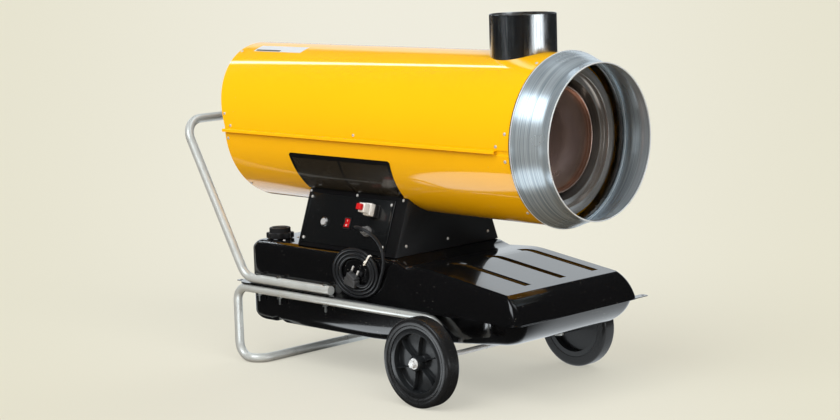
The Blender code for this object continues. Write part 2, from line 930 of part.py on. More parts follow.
def exchanger_profile():
    front_low = exchanger_front_x - exchanger_step_depth
    wall = exchanger_wall
    outer = [
        (exchanger_step_radius, exchanger_front_x), (exchanger_outer_radius, exchanger_front_x),
        (exchanger_outer_radius, exchanger_rear_x), (exchanger_inner_radius, exchanger_rear_x),
        (exchanger_inner_radius, front_low), (exchanger_step_radius, front_low)]
    cavity_front = front_low - wall
    cavity_rear = exchanger_rear_x + wall
    cavity = [
        (exchanger_inner_radius + wall, cavity_front), (exchanger_inner_radius + wall, cavity_rear),
        (exchanger_outer_radius - wall, cavity_rear), (exchanger_outer_radius - wall, cavity_front)]
    return [outer, cavity]


def duct_angles():
    return [math.radians(a) for a in (90, 210, 330)]


def radial_block(bm, angle, low_radius, high_radius, width, start_x, end_x):
    outward = casing_outward(angle)
    matrix = frame_of(outward, casing_place(angle, 0, 0), Vector((1, 0, 0)))
    size = (width, end_x - start_x, high_radius - low_radius)
    centre_x = (start_x + end_x) / 2
    made = add_box(bm, size, (0, 0, (low_radius + high_radius) / 2), matrix)
    bmesh.ops.translate(bm, vec=Vector((centre_x, 0, 0)), verts=made)


def build_heat_exchanger(flue_hole):
    chamber = turned("combustion_chamber", chamber_profile(), heated_steel, 24)
    exchanger = turned("heat_exchanger", exchanger_profile(), exchanger_steel, exchanger_facets)
    burner_hole = rods(
        "burner_hole",
        [((chamber_rear_x - cut_overrun, 0, burner_tube_z),
          (chamber_rear_x + cut_overrun, 0, burner_tube_z), hole_radius(burner_tube_radius, 16))], None, 16)
    boolean(chamber, burner_hole)
    boolean(exchanger, flue_hole)
    duct_x = chamber_rear_x + duct_setback
    duct_low = chamber_radius - duct_reach
    duct_high = exchanger_inner_radius + duct_reach
    ducts = []
    bores = []
    holes = []
    for angle in duct_angles():
        low = casing_place(angle, duct_low, duct_x)
        high = casing_place(angle, duct_high, duct_x)
        beyond = casing_outward(angle) * cut_overrun
        ducts.append((low, high, duct_radius))
        bores.append((low - beyond, high + beyond, duct_radius - duct_wall))
        holes.append((low, high + beyond, hole_radius(duct_radius, 10)))
    boolean(chamber, rods("duct_walls", ducts, None, 10), "UNION")
    boolean(chamber, rods("duct_bores", bores, None, 10))
    boolean(exchanger, rods("duct_holes", holes, None, 10))
    legs = bmesh.new()
    spacers = bmesh.new()
    half = bracket_width / 2
    front_x = exchanger_front_x - bracket_setback_front
    rear_x = exchanger_rear_x + bracket_setback_rear
    outer_limit = math.sqrt(casing_clear_radius**2 - half**2)
    inner_flat = exchanger_inner_radius * math.cos(math.pi / exchanger_facets)
    inner_limit = math.sqrt((inner_flat - fit_gap)**2 - half**2)
    for x in (front_x, rear_x):
        ends = (x - bracket_length / 2, x + bracket_length / 2)
        for angle in [math.radians(a) for a in (30, 150, 270)]:
            radial_block(legs, angle, exchanger_outer_radius - exchanger_wall, outer_limit,
                         bracket_width, *ends)
            radial_block(spacers, angle, chamber_radius - chamber_wall, inner_limit,
                         bracket_width, *ends)
    leg_tool = add_object("exchanger_legs", finish_mesh(legs, "exchanger_legs", flat=True), None)
    spacer_tool = add_object(
        "chamber_spacers", finish_mesh(spacers, "chamber_spacers", flat=True), None)
    boolean(exchanger, leg_tool, "UNION")
    boolean(chamber, spacer_tool, "UNION")

    flue_bottom = axis_height + math.sqrt(exchanger_outer_radius**2 - flue_radius**2) - flue_dip
    pipe = [(flue_radius, flue_top_height), (flue_radius, flue_bottom),
            (flue_radius - flue_wall, flue_bottom), (flue_radius - flue_wall, flue_top_height)]
    turned("flue_pipe", [pipe], stainless, 32, Matrix.Translation((flue_x, 0, 0)))


# Fan, motor and burner

def build_fan_guard():
    outlines = [arc(guard_radius, 0, math.tau, 36)[:-1]]
    for row in range(guard_slot_rows):
        low = guard_slot_first_radius + row * guard_slot_pitch - guard_slot_width / 2
        high = low + guard_slot_width
        for i in range(guard_slots_per_row):
            start = math.tau * i / guard_slots_per_row
            end = math.tau * (i + 1) / guard_slots_per_row
            low_trim = guard_spoke_width / low / 2
            high_trim = guard_spoke_width / high / 2
            outline = arc(high, start + high_trim, end - high_trim, 2)
            outline += arc(low, end - low_trim, start + low_trim, 2)
            outlines.append(outline)
    guard_x = rear_ring_rear_x - fit_gap - guard_thickness / 2
    across = Matrix.Translation((guard_x, 0, axis_height)) @ yz_plane
    guard = as_mesh(flat_outline("fan_guard", outlines, guard_thickness, black_paint, across))
    holes = hole_pins(
        "guard_screw_holes", guard_seats(), casing_screw_radius, casing_screw_length)
    boolean(guard, holes)


yz_plane = Matrix(((0, 0, 1, 0), (1, 0, 0, 0), (0, 1, 0, 0), (0, 0, 0, 1)))


def build_rotor():
    shaft = rods("motor_shaft", [((shaft_rear_x, 0, 0), (shaft_front_x, 0, 0), shaft_radius)],
                 zinc, 16, Matrix.Translation((0, 0, axis_height)))
    shaft.data.name = "motor_shaft"
    bore = shaft_radius + fit_gap
    hub = [(fan_hub_radius, fan_hub_length / 2), (fan_hub_radius, -fan_hub_length / 2),
           (bore, -fan_hub_length / 2), (bore, fan_hub_length / 2)]
    fan = turned("fan_impeller", [hub], galvanised, 24, frame_of((1, 0, 0), (fan_x, 0, axis_height)))
    for i in range(fan_blades):
        bm = bmesh.new()
        rows = 2
        inner = fan_hub_radius - fan_blade_thickness * 2
        grid = []
        for r in range(rows + 1):
            share = r / rows
            radius = inner + (fan_radius - inner) * share
            half = fan_blade_width / 2 * (fan_blade_root_share + (1 - fan_blade_root_share) * share)
            twist = fan_blade_root_pitch_share - fan_blade_tip_pitch_share
            pitch = fan_blade_pitch * (fan_blade_root_pitch_share - twist * share)
            line = []
            for side in (-1, 0, 1):
                across = half * side
                line.append(bm.verts.new((radius, across * math.cos(pitch), across * math.sin(pitch))))
            grid.append(line)
        for low, high in zip(grid, grid[1:]):
            for k in range(2):
                bm.faces.new((low[k], high[k], high[k + 1], low[k + 1]))
        mesh = bpy.data.meshes.new("fan_blade")
        bm.to_mesh(mesh)
        bm.free()
        turn = Matrix.Rotation(math.tau * i / fan_blades, 4, "Z")
        blade = add_object(f"fan_blade_{i}", mesh, None, fan.matrix_world @ turn)
        sheet = blade.modifiers.new("sheet", "SOLIDIFY")
        sheet.thickness = fan_blade_thickness
        sheet.offset = 0
        boolean(fan, blade, "UNION")

    fan_rear = burner_box_rear_x + burner_box_wall + 2 * running_gap
    plate_front = fan_rear + burner_fan_width
    wheel = [
        (burner_fan_radius, plate_front), (burner_fan_radius, plate_front - burner_fan_plate),
        (burner_fan_hub_radius, plate_front - burner_fan_plate), (burner_fan_hub_radius, fan_rear),
        (bore, fan_rear), (bore, plate_front)]
    burner_fan = turned("burner_fan", [wheel], galvanised, 16)
    for i in range(burner_fan_blades):
        bm = bmesh.new()
        length = burner_fan_radius * burner_fan_blade_share
        radius = burner_fan_radius - length / 2 - 2 * running_gap
        size = (length, burner_fan_plate, burner_fan_width - burner_fan_plate / 2)
        lean = Matrix.Rotation(burner_fan_blade_lean, 4, "Z")
        add_box(bm, size, (0, 0, 0), lean)
        mesh = finish_mesh(bm, "burner_fan_blade", flat=True)
        middle = Matrix.Translation((radius, 0, fan_rear + size[2] / 2))
        turn = Matrix.Rotation(math.tau * i / burner_fan_blades, 4, "Z")
        blade = add_object(f"burner_fan_blade_{i}", mesh, None, along_x @ turn @ middle)
        boolean(burner_fan, blade, "UNION")


def build_motor():
    bore = shaft_radius + 2 * fit_gap
    end = motor_radius * motor_end_radius_share
    step = motor_length * motor_end_length_share
    body = [
        (end, motor_front_x), (end, motor_front_x - step), (motor_radius, motor_front_x - step),
        (motor_radius, motor_rear_x + step), (end, motor_rear_x + step), (end, motor_rear_x),
        (bore, motor_rear_x), (bore, motor_front_x)]
    turned("fan_motor", [body], motor_paint, 20)
    reach = casing_clear_radius
    low = math.asin(motor_bracket_half_width / reach)
    outline = arc(reach, -math.pi / 2 - low, -math.pi / 2 + low, 4)
    top = math.acos(motor_bracket_half_width / motor_bracket_top_radius)
    outline += arc(motor_bracket_top_radius, top, math.pi - top, 5)
    hole = arc(hole_radius(motor_radius, 16), 0, math.tau, 16)[:-1]
    rear_x = motor_rear_x + step + motor_bracket_inset
    front_x = motor_front_x - step - motor_bracket_inset
    plates = []
    for label, x in (("motor_bracket", rear_x), ("front_plate", front_x)):
        matrix = Matrix.Translation((x, 0, axis_height)) @ yz_plane
        plates.append(as_mesh(flat_outline(
            label, [outline, hole], motor_bracket_thickness, galvanised, matrix)))
    foot_low = axis_height - math.sqrt(reach**2 - motor_bracket_half_width**2 / 4)
    foot = box("motor_foot", (front_x - rear_x, motor_bracket_half_width, motor_bracket_thickness),
               ((front_x + rear_x) / 2, 0, foot_low + motor_bracket_thickness / 2), None)
    hide_tool(plates[1])
    boolean(plates[0], plates[1], "UNION")
    boolean(plates[0], foot, "UNION")


def build_burner():
    wall = burner_box_wall
    rear = burner_box_rear_x
    front = burner_box_front_x
    outer = [(burner_box_radius, front), (burner_box_radius, rear), (burner_inlet_radius, rear),
             (burner_inlet_radius, rear + wall), (burner_box_radius - wall, rear + wall),
             (burner_box_radius - wall, front - wall), (pump_spigot_radius + fit_gap, front - wall),
             (pump_spigot_radius + fit_gap, front)]
    housing = turned("burner_housing", [outer], motor_paint, 16)
    tube_hole = rods(
        "tube_hole", [((front - wall - cut_overrun, 0, burner_tube_z),
                       (front + cut_overrun, 0, burner_tube_z), burner_tube_radius - burner_tube_wall)],
        None, 16)
    boolean(housing, tube_hole)
    box_rim = burner_box_radius - burner_tube_rise
    flange_radius = min(box_rim, burner_tube_radius) + burner_tube_flange
    tube_rear = front + fit_gap
    tube_front = tube_rear + burner_tube_length
    bore = burner_tube_radius - burner_tube_wall
    pipe = [(burner_tube_radius, tube_front), (burner_tube_radius, tube_rear + wall),
            (max(flange_radius, burner_tube_radius + wall), tube_rear + wall),
            (max(flange_radius, burner_tube_radius + wall), tube_rear), (bore, tube_rear), (bore, tube_front)]
    at_tube = frame_of((1, 0, 0), (0, 0, burner_tube_z))
    turned("burner_tube", [pipe], heated_steel, 16, at_tube)
    disc_front = tube_front - flame_disc_setback
    disc_rear = disc_front - flame_disc_thickness
    disc_hole = hole_radius(nozzle_radius, 16)
    disc = [(bore - fit_gap, disc_front), (bore - fit_gap, disc_rear), (disc_hole, disc_rear),
            (disc_hole, disc_front)]
    flame_disc = turned("flame_disc", [disc], heated_steel, 16, at_tube)
    runs = []
    holes = []
    for side in (-1, 1):
        start = (tube_rear + wall, side * electrode_spread, burner_tube_z + electrode_offset)
        end = (disc_front + nozzle_reach, side * electrode_spread, burner_tube_z + electrode_offset)
        runs.append((start, end, electrode_radius))
        holes.append((start, end, hole_radius(electrode_radius, 8)))
    boolean(flame_disc, rods("electrode_holes", holes, None, 8))
    insulator = (electrode_block_length, 2 * electrode_spread + 4 * electrode_radius,
                 4 * electrode_radius)
    block_x = tube_rear + wall + electrode_block_length
    electrodes = box("ignition_electrodes", insulator,
                     (block_x, 0, burner_tube_z + electrode_offset), white_plastic)
    boolean(electrodes, rods("electrode_rods", runs, None, 8), "UNION")
    nozzle = [(0, disc_front + nozzle_reach), (nozzle_radius * nozzle_tip_share, disc_front + nozzle_reach),
              (nozzle_radius, disc_front + nozzle_reach / 2), (nozzle_radius, tube_rear + wall),
              (0, tube_rear + wall)]
    turned("fuel_nozzle", [nozzle], copper, 12, at_tube)
    pump_rear = front + fit_gap
    pump_bore = shaft_radius + fit_gap
    spigot = pump_rear - pump_spigot_length
    pump = [
        (0, pump_rear + pump_length), (pump_radius, pump_rear + pump_length), (pump_radius, pump_rear),
        (pump_spigot_radius, pump_rear), (pump_spigot_radius, spigot), (pump_bore, spigot),
        (pump_bore, shaft_front_x + fit_gap), (0, shaft_front_x + fit_gap)]
    turned("fuel_pump", [pump], galvanised, 20)


# Control housing and its panel

def side_slope():
    rise = housing_top_z - housing_base_z
    lean = housing_bottom_half_width - housing_top_half_width
    return rise, lean


def panel_frame(x, z, out=0.0):
    """Frame on the near side of the housing: X along it, Y up it, Z out of it."""
    rise, lean = side_slope()
    up = Vector((0, lean, rise)).normalized()
    outward = Vector((1, 0, 0)).cross(up)
    y = -housing_top_half_width - (housing_top_z - z) * lean / rise
    turn = Matrix((Vector((1, 0, 0)), up, outward)).transposed().to_4x4()
    return Matrix.Translation(Vector((x, y, z)) + outward * out) @ turn


def prism(name, outline, start_x, end_x, material):
    """A closed (y, z) outline drawn along X."""
    bm = bmesh.new()
    near = bm.faces.new([bm.verts.new((start_x, y, z)) for y, z in outline])
    grown = bmesh.ops.extrude_face_region(bm, geom=[near])["geom"]
    far = [v for v in grown if isinstance(v, bmesh.types.BMVert)]
    bmesh.ops.translate(bm, vec=(end_x - start_x, 0, 0), verts=far)
    return add_object(name, finish_mesh(bm, name, flat=True), material)


def housing_outline(inset, low, high):
    rise, lean = side_slope()
    slope = lean / rise
    top = housing_top_half_width - inset - (high - housing_top_z) * slope
    bottom = housing_bottom_half_width - inset + (housing_base_z - low) * slope
    return [(-bottom, low), (bottom, low), (top, high), (-top, high)]


def panel_seats():
    rise, lean = side_slope()
    up = rise / math.hypot(rise, lean)
    seats = []
    for side_x in (-1, 1):
        for side_z in (-1, 1):
            x = panel_x + side_x * (panel_length / 2 - panel_screw_inset)
            z = panel_z + side_z * (panel_height / 2 - panel_screw_inset) * up
            face = panel_frame(x, z, panel_thickness + fit_gap)
            seats.append((face.translation, face.to_3x3() @ Vector((0, 0, 1))))
    return seats


def housing_seats():
    seats = []
    for share in housing_top_screw_shares:
        x = housing_rear_x + share * housing_length
        face = panel_frame(x, housing_top_z - housing_top_screw_drop)
        for side in (-1, 1):
            place = face.translation.copy()
            outward = face.to_3x3() @ Vector((0, 0, 1))
            place.y *= -side
            outward.y *= -side
            seats.append((place, outward))
    for side in (-1, 0, 1):
        place = (housing_front_x, side * housing_front_screw_reach,
                 housing_base_z + housing_front_screw_rise)
        seats.append((place, (1, 0, 0)))
    return seats


def build_housing():
    over = housing_top_z + 2 * cut_overrun
    housing = prism("control_housing", housing_outline(0, housing_base_z, over),
                    housing_rear_x, housing_front_x, black_sheet)
    inner = prism("housing_inside",
                  housing_outline(housing_wall, housing_base_z - cut_overrun, over + cut_overrun),
                  housing_rear_x + housing_wall, housing_front_x - housing_wall, None)
    saddle = rods(
        "saddle_cut",
        [((casing_rear_x, 0, axis_height), (casing_front_x, 0, axis_height),
          hole_radius(casing_radius, casing_facets))], None, casing_facets)
    window = box("housing_window", (housing_window_length, housing_window_height, 4 * housing_wall),
                 (0, 0, 0), None, panel_frame(panel_x, panel_z))
    panel_holes = hole_pins("panel_screw_holes", panel_seats(), panel_screw_radius, panel_screw_length)
    for cutter in (inner, saddle, window, panel_holes):
        boolean(housing, cutter)
    heads = screw_tools("housing_screws", housing_seats(), panel_screw_radius,
                        panel_screw_head_radius, panel_screw_head_height, housing_wall / 2,
                        housing_wall)
    boolean(housing, heads, "UNION")


def build_panel():
    panel = box("control_panel", (panel_length, panel_height, panel_thickness),
                (0, 0, panel_thickness / 2 + fit_gap), black_sheet, panel_frame(panel_x, panel_z))
    heads = screw_tools("panel_screws", panel_seats(), panel_screw_radius, panel_screw_head_radius,
                        panel_screw_head_height, panel_screw_length, -panel_thickness / 2)
    boolean(panel, heads, "UNION")
    through = panel_thickness + fit_gap

    reset_hole = rods(
        "reset_hole", [((0, 0, -cut_overrun), (0, 0, cut_overrun), hole_radius(bezel_stem_radius, 12))],
        None, 12, panel_frame(reset_x, reset_z))
    switch_hole = box(
        "switch_hole",
        (switch_width - 2 * switch_frame_border + 2 * fit_gap,
         switch_height - 2 * switch_frame_border + 2 * fit_gap, 2 * cut_overrun),
        (0, 0, 0), None, panel_frame(switch_x, switch_z))
    gland_hole = rods(
        "gland_hole", [((0, 0, -cut_overrun), (0, 0, cut_overrun), hole_radius(gland_thread_radius, 12))],
        None, 12, panel_frame(gland_x, gland_z))
    for cutter in (reset_hole, switch_hole, gland_hole):
        boolean(panel, cutter)

    face = through + fit_gap
    bezel_top = face + bezel_height
    bezel_low = -bezel_wall_depth
    inner = reset_radius + fit_gap
    guide = reset_stem_radius + fit_gap
    bezel = [
        (bezel_radius, bezel_top), (bezel_radius, face), (bezel_stem_radius, face),
        (bezel_stem_radius, bezel_low), (guide, bezel_low), (guide, bezel_low / 2),
        (inner - 3 * fit_gap, bezel_low / 2), (inner, bezel_top)]
    turned("reset_bezel", [bezel], black_plastic, 12, panel_frame(reset_x, reset_z))
    cap_low = bezel_low / 2 + reset_travel + 2 * fit_gap
    narrow = reset_radius - 3 * fit_gap
    button = [
        (0, face + reset_rise), (narrow * reset_crown_share, face + reset_rise),
        (narrow, face + reset_rise * reset_crown_share),
        (narrow, cap_low), (reset_stem_radius, cap_low), (reset_stem_radius, bezel_low), (0, bezel_low)]
    turned("reset_button", [button], grey_plastic, 12, panel_frame(reset_x, reset_z))

    outer = (switch_width, switch_height, switch_frame_height)
    body = (switch_width - 2 * switch_frame_border, switch_height - 2 * switch_frame_border,
            switch_body_depth)
    frame = box("power_switch_frame", outer, (0, 0, face + switch_frame_height / 2), black_plastic,
                panel_frame(switch_x, switch_z))
    shell = box("switch_shell", body, (0, 0, face + switch_frame_height / 2 - switch_body_depth / 2),
                None, panel_frame(switch_x, switch_z))
    pocket_wall = switch_frame_border / 2
    pocket_size = (body[0] - pocket_wall, body[1] - pocket_wall, switch_pocket_depth)
    pocket_top = face + switch_frame_height
    pocket = box("switch_pocket", (pocket_size[0], pocket_size[1], switch_pocket_depth + cut_overrun),
                 (0, 0, pocket_top + (cut_overrun - switch_pocket_depth) / 2), None,
                 panel_frame(switch_x, switch_z))
    boolean(frame, shell, "UNION")
    boolean(frame, pocket)

    half = pocket_size[1] / 2 - rocker_clearance
    thick = rocker_thickness / 2
    outline = [(-half, -thick), (half, -thick), (half, thick),
               (0, thick * rocker_hollow_share), (-half, thick)]
    bm = bmesh.new()
    width = pocket_size[0] / 2 - rocker_clearance
    first = bm.faces.new([bm.verts.new((-width, y, z)) for y, z in outline])
    grown = bmesh.ops.extrude_face_region(bm, geom=[first])["geom"]
    far = [v for v in grown if isinstance(v, bmesh.types.BMVert)]
    bmesh.ops.translate(bm, vec=(2 * width, 0, 0), verts=far)
    pivot = panel_frame(
        switch_x, switch_z, pocket_top - rocker_pivot_depth - thick * rocker_hollow_share)
    tilt = Matrix.Rotation(-rocker_tilt, 4, "X")
    add_object("power_rocker", finish_mesh(bm, "power_rocker", flat=True), red_plastic, pivot @ tilt)

    socket_face = panel_frame(socket_x, socket_z)
    base_top = face + socket_base_thickness
    shroud_top = base_top + socket_shroud_length
    socket = box("thermostat_socket", (socket_base_size, socket_base_size, socket_base_thickness),
                 (0, 0, face + socket_base_thickness / 2), black_plastic, socket_face)
    shroud = box("socket_shroud", (socket_shroud_width, socket_shroud_height,
                                   socket_shroud_length + socket_base_thickness / 2),
                 (0, 0, shroud_top - (socket_shroud_length + socket_base_thickness / 2) / 2),
                 None, socket_face)
    pocket_width = socket_shroud_width - 2 * socket_pocket_wall
    pocket_height = socket_shroud_height - 2 * socket_pocket_wall
    socket_pocket = box("socket_pocket", (pocket_width, pocket_height, socket_pocket_depth + cut_overrun),
                        (0, 0, shroud_top + (cut_overrun - socket_pocket_depth) / 2), None, socket_face)
    boolean(socket, shroud, "UNION")
    boolean(socket, socket_pocket)
    plug_low = shroud_top + fit_gap
    plug = box("thermostat_plug", (plug_block_width, plug_block_height, plug_block_length),
               (0, 0, plug_low + plug_block_length / 2), white_plastic, socket_face)
    tongue = box("plug_tongue", (pocket_width - 4 * fit_gap, pocket_height - 4 * fit_gap,
                                 plug_tongue_length + plug_block_length / 4),
                 (0, 0, plug_low - plug_tongue_length + (plug_tongue_length + plug_block_length / 4) / 2),
                 None, socket_face)
    boolean(plug, tongue, "UNION")
    cap_low = plug_low + plug_block_length + fit_gap
    cap_size = (plug_block_width * plug_cap_width_share, plug_block_height * plug_cap_height_share,
                plug_cap_length)
    box("thermostat_plug_end", cap_size, (0, 0, cap_low + plug_cap_length / 2), red_plastic, socket_face)

    cord_bore = cord_radius + fit_gap
    nut_top = face + gland_nut_length
    dome_top = nut_top + gland_dome_length
    gland = [
        (gland_dome_radius * gland_dome_top_share, dome_top),
        (gland_dome_radius, dome_top - gland_dome_length * gland_dome_shoulder_share),
        (gland_dome_radius, nut_top), (gland_radius, nut_top), (gland_radius, face),
        (gland_thread_radius, face), (gland_thread_radius, face - gland_thread_length),
        (cord_bore, face - gland_thread_length), (cord_bore, dome_top)]
    turned("cable_gland", [gland], black_plastic, 12, panel_frame(gland_x, gland_z))
    return dome_top


# Tank

def tank_upper_profile(inset, overrun=0.0):
    """Side outline (x, z) of the upper pressing, from its rear foot to its front foot."""
    crease_x = tank_front_x - tank_crease_setback
    foot_z = tank_upper_plane + tank_sheet / 2
    outline = [
        (tank_rear_x + inset, foot_z - overrun), (tank_rear_x + inset, tank_top_height - inset),
        (tank_step_x, tank_top_height - inset),
        (tank_step_x + tank_step_length, tank_top_height - tank_step_drop - inset),
        (crease_x - inset, tank_crease_height - inset), (tank_front_x - inset, foot_z)]
    if overrun:
        outline.append((tank_front_x - inset, foot_z - overrun))
    return outline


def tank_lower_profile(inset, overrun=0.0):
    """Side outline (x, z) of the lower pressing, from its rear top to its front top."""
    foot_z = tank_lower_plane - tank_sheet / 2
    outline = [
        (tank_rear_x + inset, foot_z + overrun), (tank_rear_x + inset, tank_bottom_height + inset),
        (tank_bottom_bend_x, tank_bottom_height + inset),
        (tank_front_x - tank_bottom_front_setback - inset, tank_bottom_front_height + inset),
        (tank_front_x - inset, foot_z)]
    if overrun:
        outline.append((tank_front_x - inset, foot_z + overrun))
    return outline


def pressed_body(name, profile, half_width, radius, material, open_points, segments):
    """A side profile drawn across Y with its pressed edges rounded."""
    bm = bmesh.new()
    first = bm.faces.new([bm.verts.new((x, -half_width, z)) for x, z in profile])
    grown = bmesh.ops.extrude_face_region(bm, geom=[first])["geom"]
    far = [v for v in grown if isinstance(v, bmesh.types.BMVert)]
    bmesh.ops.translate(bm, vec=(0, 2 * half_width, 0), verts=far)
    bmesh.ops.recalc_face_normals(bm, faces=bm.faces)
    weight = bm.edges.layers.float.new("bevel_weight_edge")
    low_z = [profile[0][1], profile[-1][1]]
    for edge in bm.edges:
        a, b = (v.co for v in edge.verts)
        on_open_end = all(min(abs(p.z - z) for z in low_z) < merge_distance for p in (a, b))
        across = abs(a.y - b.y) > merge_distance
        if on_open_end:
            continue
        if across:
            key = open_points.get((round(a.x, 4), round(a.z, 4)), 1.0)
            edge[weight] = key
        else:
            edge[weight] = 1.0
    item = add_object(name, finish_mesh(bm, name), material)
    bevel = item.modifiers.new("pressing", "BEVEL")
    bevel.limit_method = "WEIGHT"
    bevel.width = radius
    bevel.segments = segments
    bevel.use_clamp_overlap = True
    return item


def rounded_rectangle(low_x, high_x, half_width, radius, steps=4):
    quarter = math.pi / 2
    return (arc(radius, 0, quarter, steps, (high_x - radius, half_width - radius))
            + arc(radius, quarter, 2 * quarter, steps, (low_x + radius, half_width - radius))
            + arc(radius, 2 * quarter, 3 * quarter, steps, (low_x + radius, radius - half_width))
            + arc(radius, 3 * quarter, 4 * quarter, steps, (high_x - radius, radius - half_width)))


def flange_plate(name, middle_z):
    outline = rounded_rectangle(
        tank_rear_x - tank_flange_width, tank_front_x + tank_flange_front,
        tank_half_width + tank_flange_width, tank_corner_radius)
    plate = flat_outline(name, [outline], tank_sheet, black_paint, Matrix.Translation((0, 0, middle_z)))
    return hide_tool(as_mesh(plate))


def flange_tabs():
    """Lashing tabs on the flange: one behind its near rear corner, one beyond its far edge."""
    rear_edge = tank_rear_x - tank_flange_width
    far_edge = tank_half_width + tank_flange_width
    front_x = tank_front_x - tank_corner_radius
    middle_z = tank_upper_plane + tank_sheet / 2
    bm = bmesh.new()
    add_box(bm, (tab_width * 2, tab_width, tank_sheet), (rear_edge, -tube_offset + tab_width / 2, middle_z))
    add_box(bm, (tab_width, tab_length * 2, tank_sheet), (front_x, far_edge, middle_z))
    tabs = add_object("tab_plates", finish_mesh(bm, "tab_plates", flat=True), None)
    centres = [(rear_edge - tab_width / 2, -tube_offset + tab_width / 2),
               (front_x, far_edge + tab_length * tab_hole_share)]
    holes = rods("tab_holes", [((x, y, middle_z + cut_overrun), (x, y, middle_z - cut_overrun),
                                tab_hole_radius) for x, y in centres], None, 8)
    return tabs, holes


def soft_edges(profile, shares):
    return {(round(profile[i][0], 4), round(profile[i][1], 4)): share for i, share in shares.items()}


def build_tank(bolt_holes):
    upper_outline = tank_upper_profile(0)
    upper = pressed_body("tank_upper", upper_outline, tank_half_width, tank_corner_radius, black_paint,
                         soft_edges(upper_outline, tank_upper_edge_shares), 2)
    upper_inner_outline = tank_upper_profile(tank_sheet, cut_overrun)
    upper_inner = pressed_body(
        "tank_upper_inside", upper_inner_outline, tank_half_width - tank_sheet,
        tank_corner_radius - tank_sheet, None,
        soft_edges(upper_inner_outline, {**tank_upper_edge_shares, 5: 0}), 1)
    neck_hole = rods(
        "neck_hole", [((filler_x, filler_y, tank_top_height - cut_overrun),
                       (filler_x, filler_y, tank_top_height + cut_overrun), hole_radius(neck_radius, 16))],
        None, 16)
    pipe_hole = rods(
        "pipe_hole", [((filter_x, filter_y, tank_top_height - cut_overrun),
                       (filter_x, filter_y, tank_top_height + cut_overrun),
                       pipe_radius + pipe_hole_clearance)], None, 8)
    boolean(upper, flange_plate("upper_flange", tank_upper_plane + tank_sheet / 2), "UNION")
    tab_tool, tab_holes = flange_tabs()
    boolean(upper, tab_tool, "UNION")
    for cutter in (upper_inner, neck_hole, pipe_hole, bolt_holes, tab_holes):
        boolean(upper, cutter)

    lower_outline = tank_lower_profile(0)
    lower = pressed_body("tank_lower", lower_outline, tank_half_width, tank_corner_radius, black_paint,
                         soft_edges(lower_outline, tank_lower_edge_shares), 2)
    lower_inner_outline = tank_lower_profile(tank_sheet, cut_overrun)
    lower_inner = pressed_body(
        "tank_lower_inside", lower_inner_outline, tank_half_width - tank_sheet,
        tank_corner_radius - tank_sheet, None,
        soft_edges(lower_inner_outline, {**tank_lower_edge_shares, 4: 0}), 1)
    recess_z = tank_bottom_height - drain_recess_rise
    recess_y = drain_recess_width - tank_half_width
    runs = [((drain_x, -tank_half_width - cut_overrun, recess_z), (drain_x, recess_y, recess_z))]
    recess = rods("drain_recess", [(*runs[0], drain_recess_radius)], None, 16)
    wider = rods("drain_recess_wall", [(runs[0][0], (drain_x, recess_y + tank_sheet, recess_z),
                                        drain_recess_radius + tank_sheet)], None, 16)
    boolean(lower_inner, wider)
    drain_y = (recess_y - tank_half_width) / 2
    drain_roof = recess_z + drain_recess_radius
    drain_hole = rods("drain_hole", [((drain_x, drain_y, drain_roof - cut_overrun),
                                      (drain_x, drain_y, drain_roof + cut_overrun),
                                      hole_radius(drain_hole_radius, 12))], None, 12)
    boolean(lower, flange_plate("lower_flange", tank_lower_plane - tank_sheet / 2), "UNION")
    for cutter in (recess, lower_inner, drain_hole, bolt_holes):
        boolean(lower, cutter)
    plug_seat = drain_roof - fit_gap
    chord = drain_recess_radius - math.sqrt(drain_recess_radius**2 - drain_head_radius**2)
    plug = [
        (0, plug_seat + drain_thread_length), (drain_hole_radius, plug_seat + drain_thread_length),
        (drain_hole_radius, plug_seat - chord), (drain_head_radius, plug_seat - chord),
        (drain_head_radius, plug_seat - chord - drain_head_height),
        (0, plug_seat - chord - drain_head_height)]
    turned("drain_plug", [plug], zinc, 12, Matrix.Translation((drain_x, drain_y, 0)))


def build_filler():
    at_filler = Matrix.Translation((filler_x, filler_y, 0))
    seat = tank_top_height + fit_gap
    top = seat + neck_rise
    flange_top = seat + neck_flange_thickness
    bottom = tank_top_height - neck_dip
    neck = [
        (neck_radius, top), (neck_radius, flange_top), (neck_flange_radius, flange_top),
        (neck_flange_radius, seat), (neck_radius, seat), (neck_radius, bottom),
        (neck_radius - neck_wall, bottom), (neck_radius - neck_wall, top)]
    turned("filler_neck", [neck], black_paint, 12, at_filler)
    skirt_bottom = flange_top + fit_gap
    cap_top = seat + cap_height
    inner = neck_radius + fit_gap * 2
    cap = [
        (0, cap_top), (cap_radius - cap_wall, cap_top), (cap_radius, cap_top - cap_wall),
        (cap_radius, skirt_bottom), (inner, skirt_bottom), (inner, top + fit_gap), (0, top + fit_gap)]
    filler_cap = turned("filler_cap", [cap], black_plastic, 12, at_filler)
    outline = []
    per_lobe = 3
    for i in range(cap_lobes * per_lobe):
        angle = math.tau * i / (cap_lobes * per_lobe)
        wave = (1 + math.cos(cap_lobes * angle)) / 2
        depth = (cap_ear_radius - cap_radius) * wave
        radius = cap_radius + depth - fit_gap * 2
        outline.append((radius * math.cos(angle), radius * math.sin(angle)))
    bm = bmesh.new()
    first = bm.faces.new([bm.verts.new((x, y, 0)) for x, y in outline])
    grown = bmesh.ops.extrude_face_region(bm, geom=[first])["geom"]
    far = [v for v in grown if isinstance(v, bmesh.types.BMVert)]
    bmesh.ops.translate(bm, vec=(0, 0, cap_skirt_height), verts=far)
    lobes = add_object("cap_lobes", finish_mesh(bm, "cap_lobes"), None,
                       at_filler @ Matrix.Translation((0, 0, skirt_bottom + fit_gap)))
    inside = rods("cap_inside", [((0, 0, skirt_bottom - cut_overrun), (0, 0, top + fit_gap), inner)],
                  None, 16, at_filler)
    boolean(filler_cap, lobes, "UNION")
    boolean(filler_cap, inside)


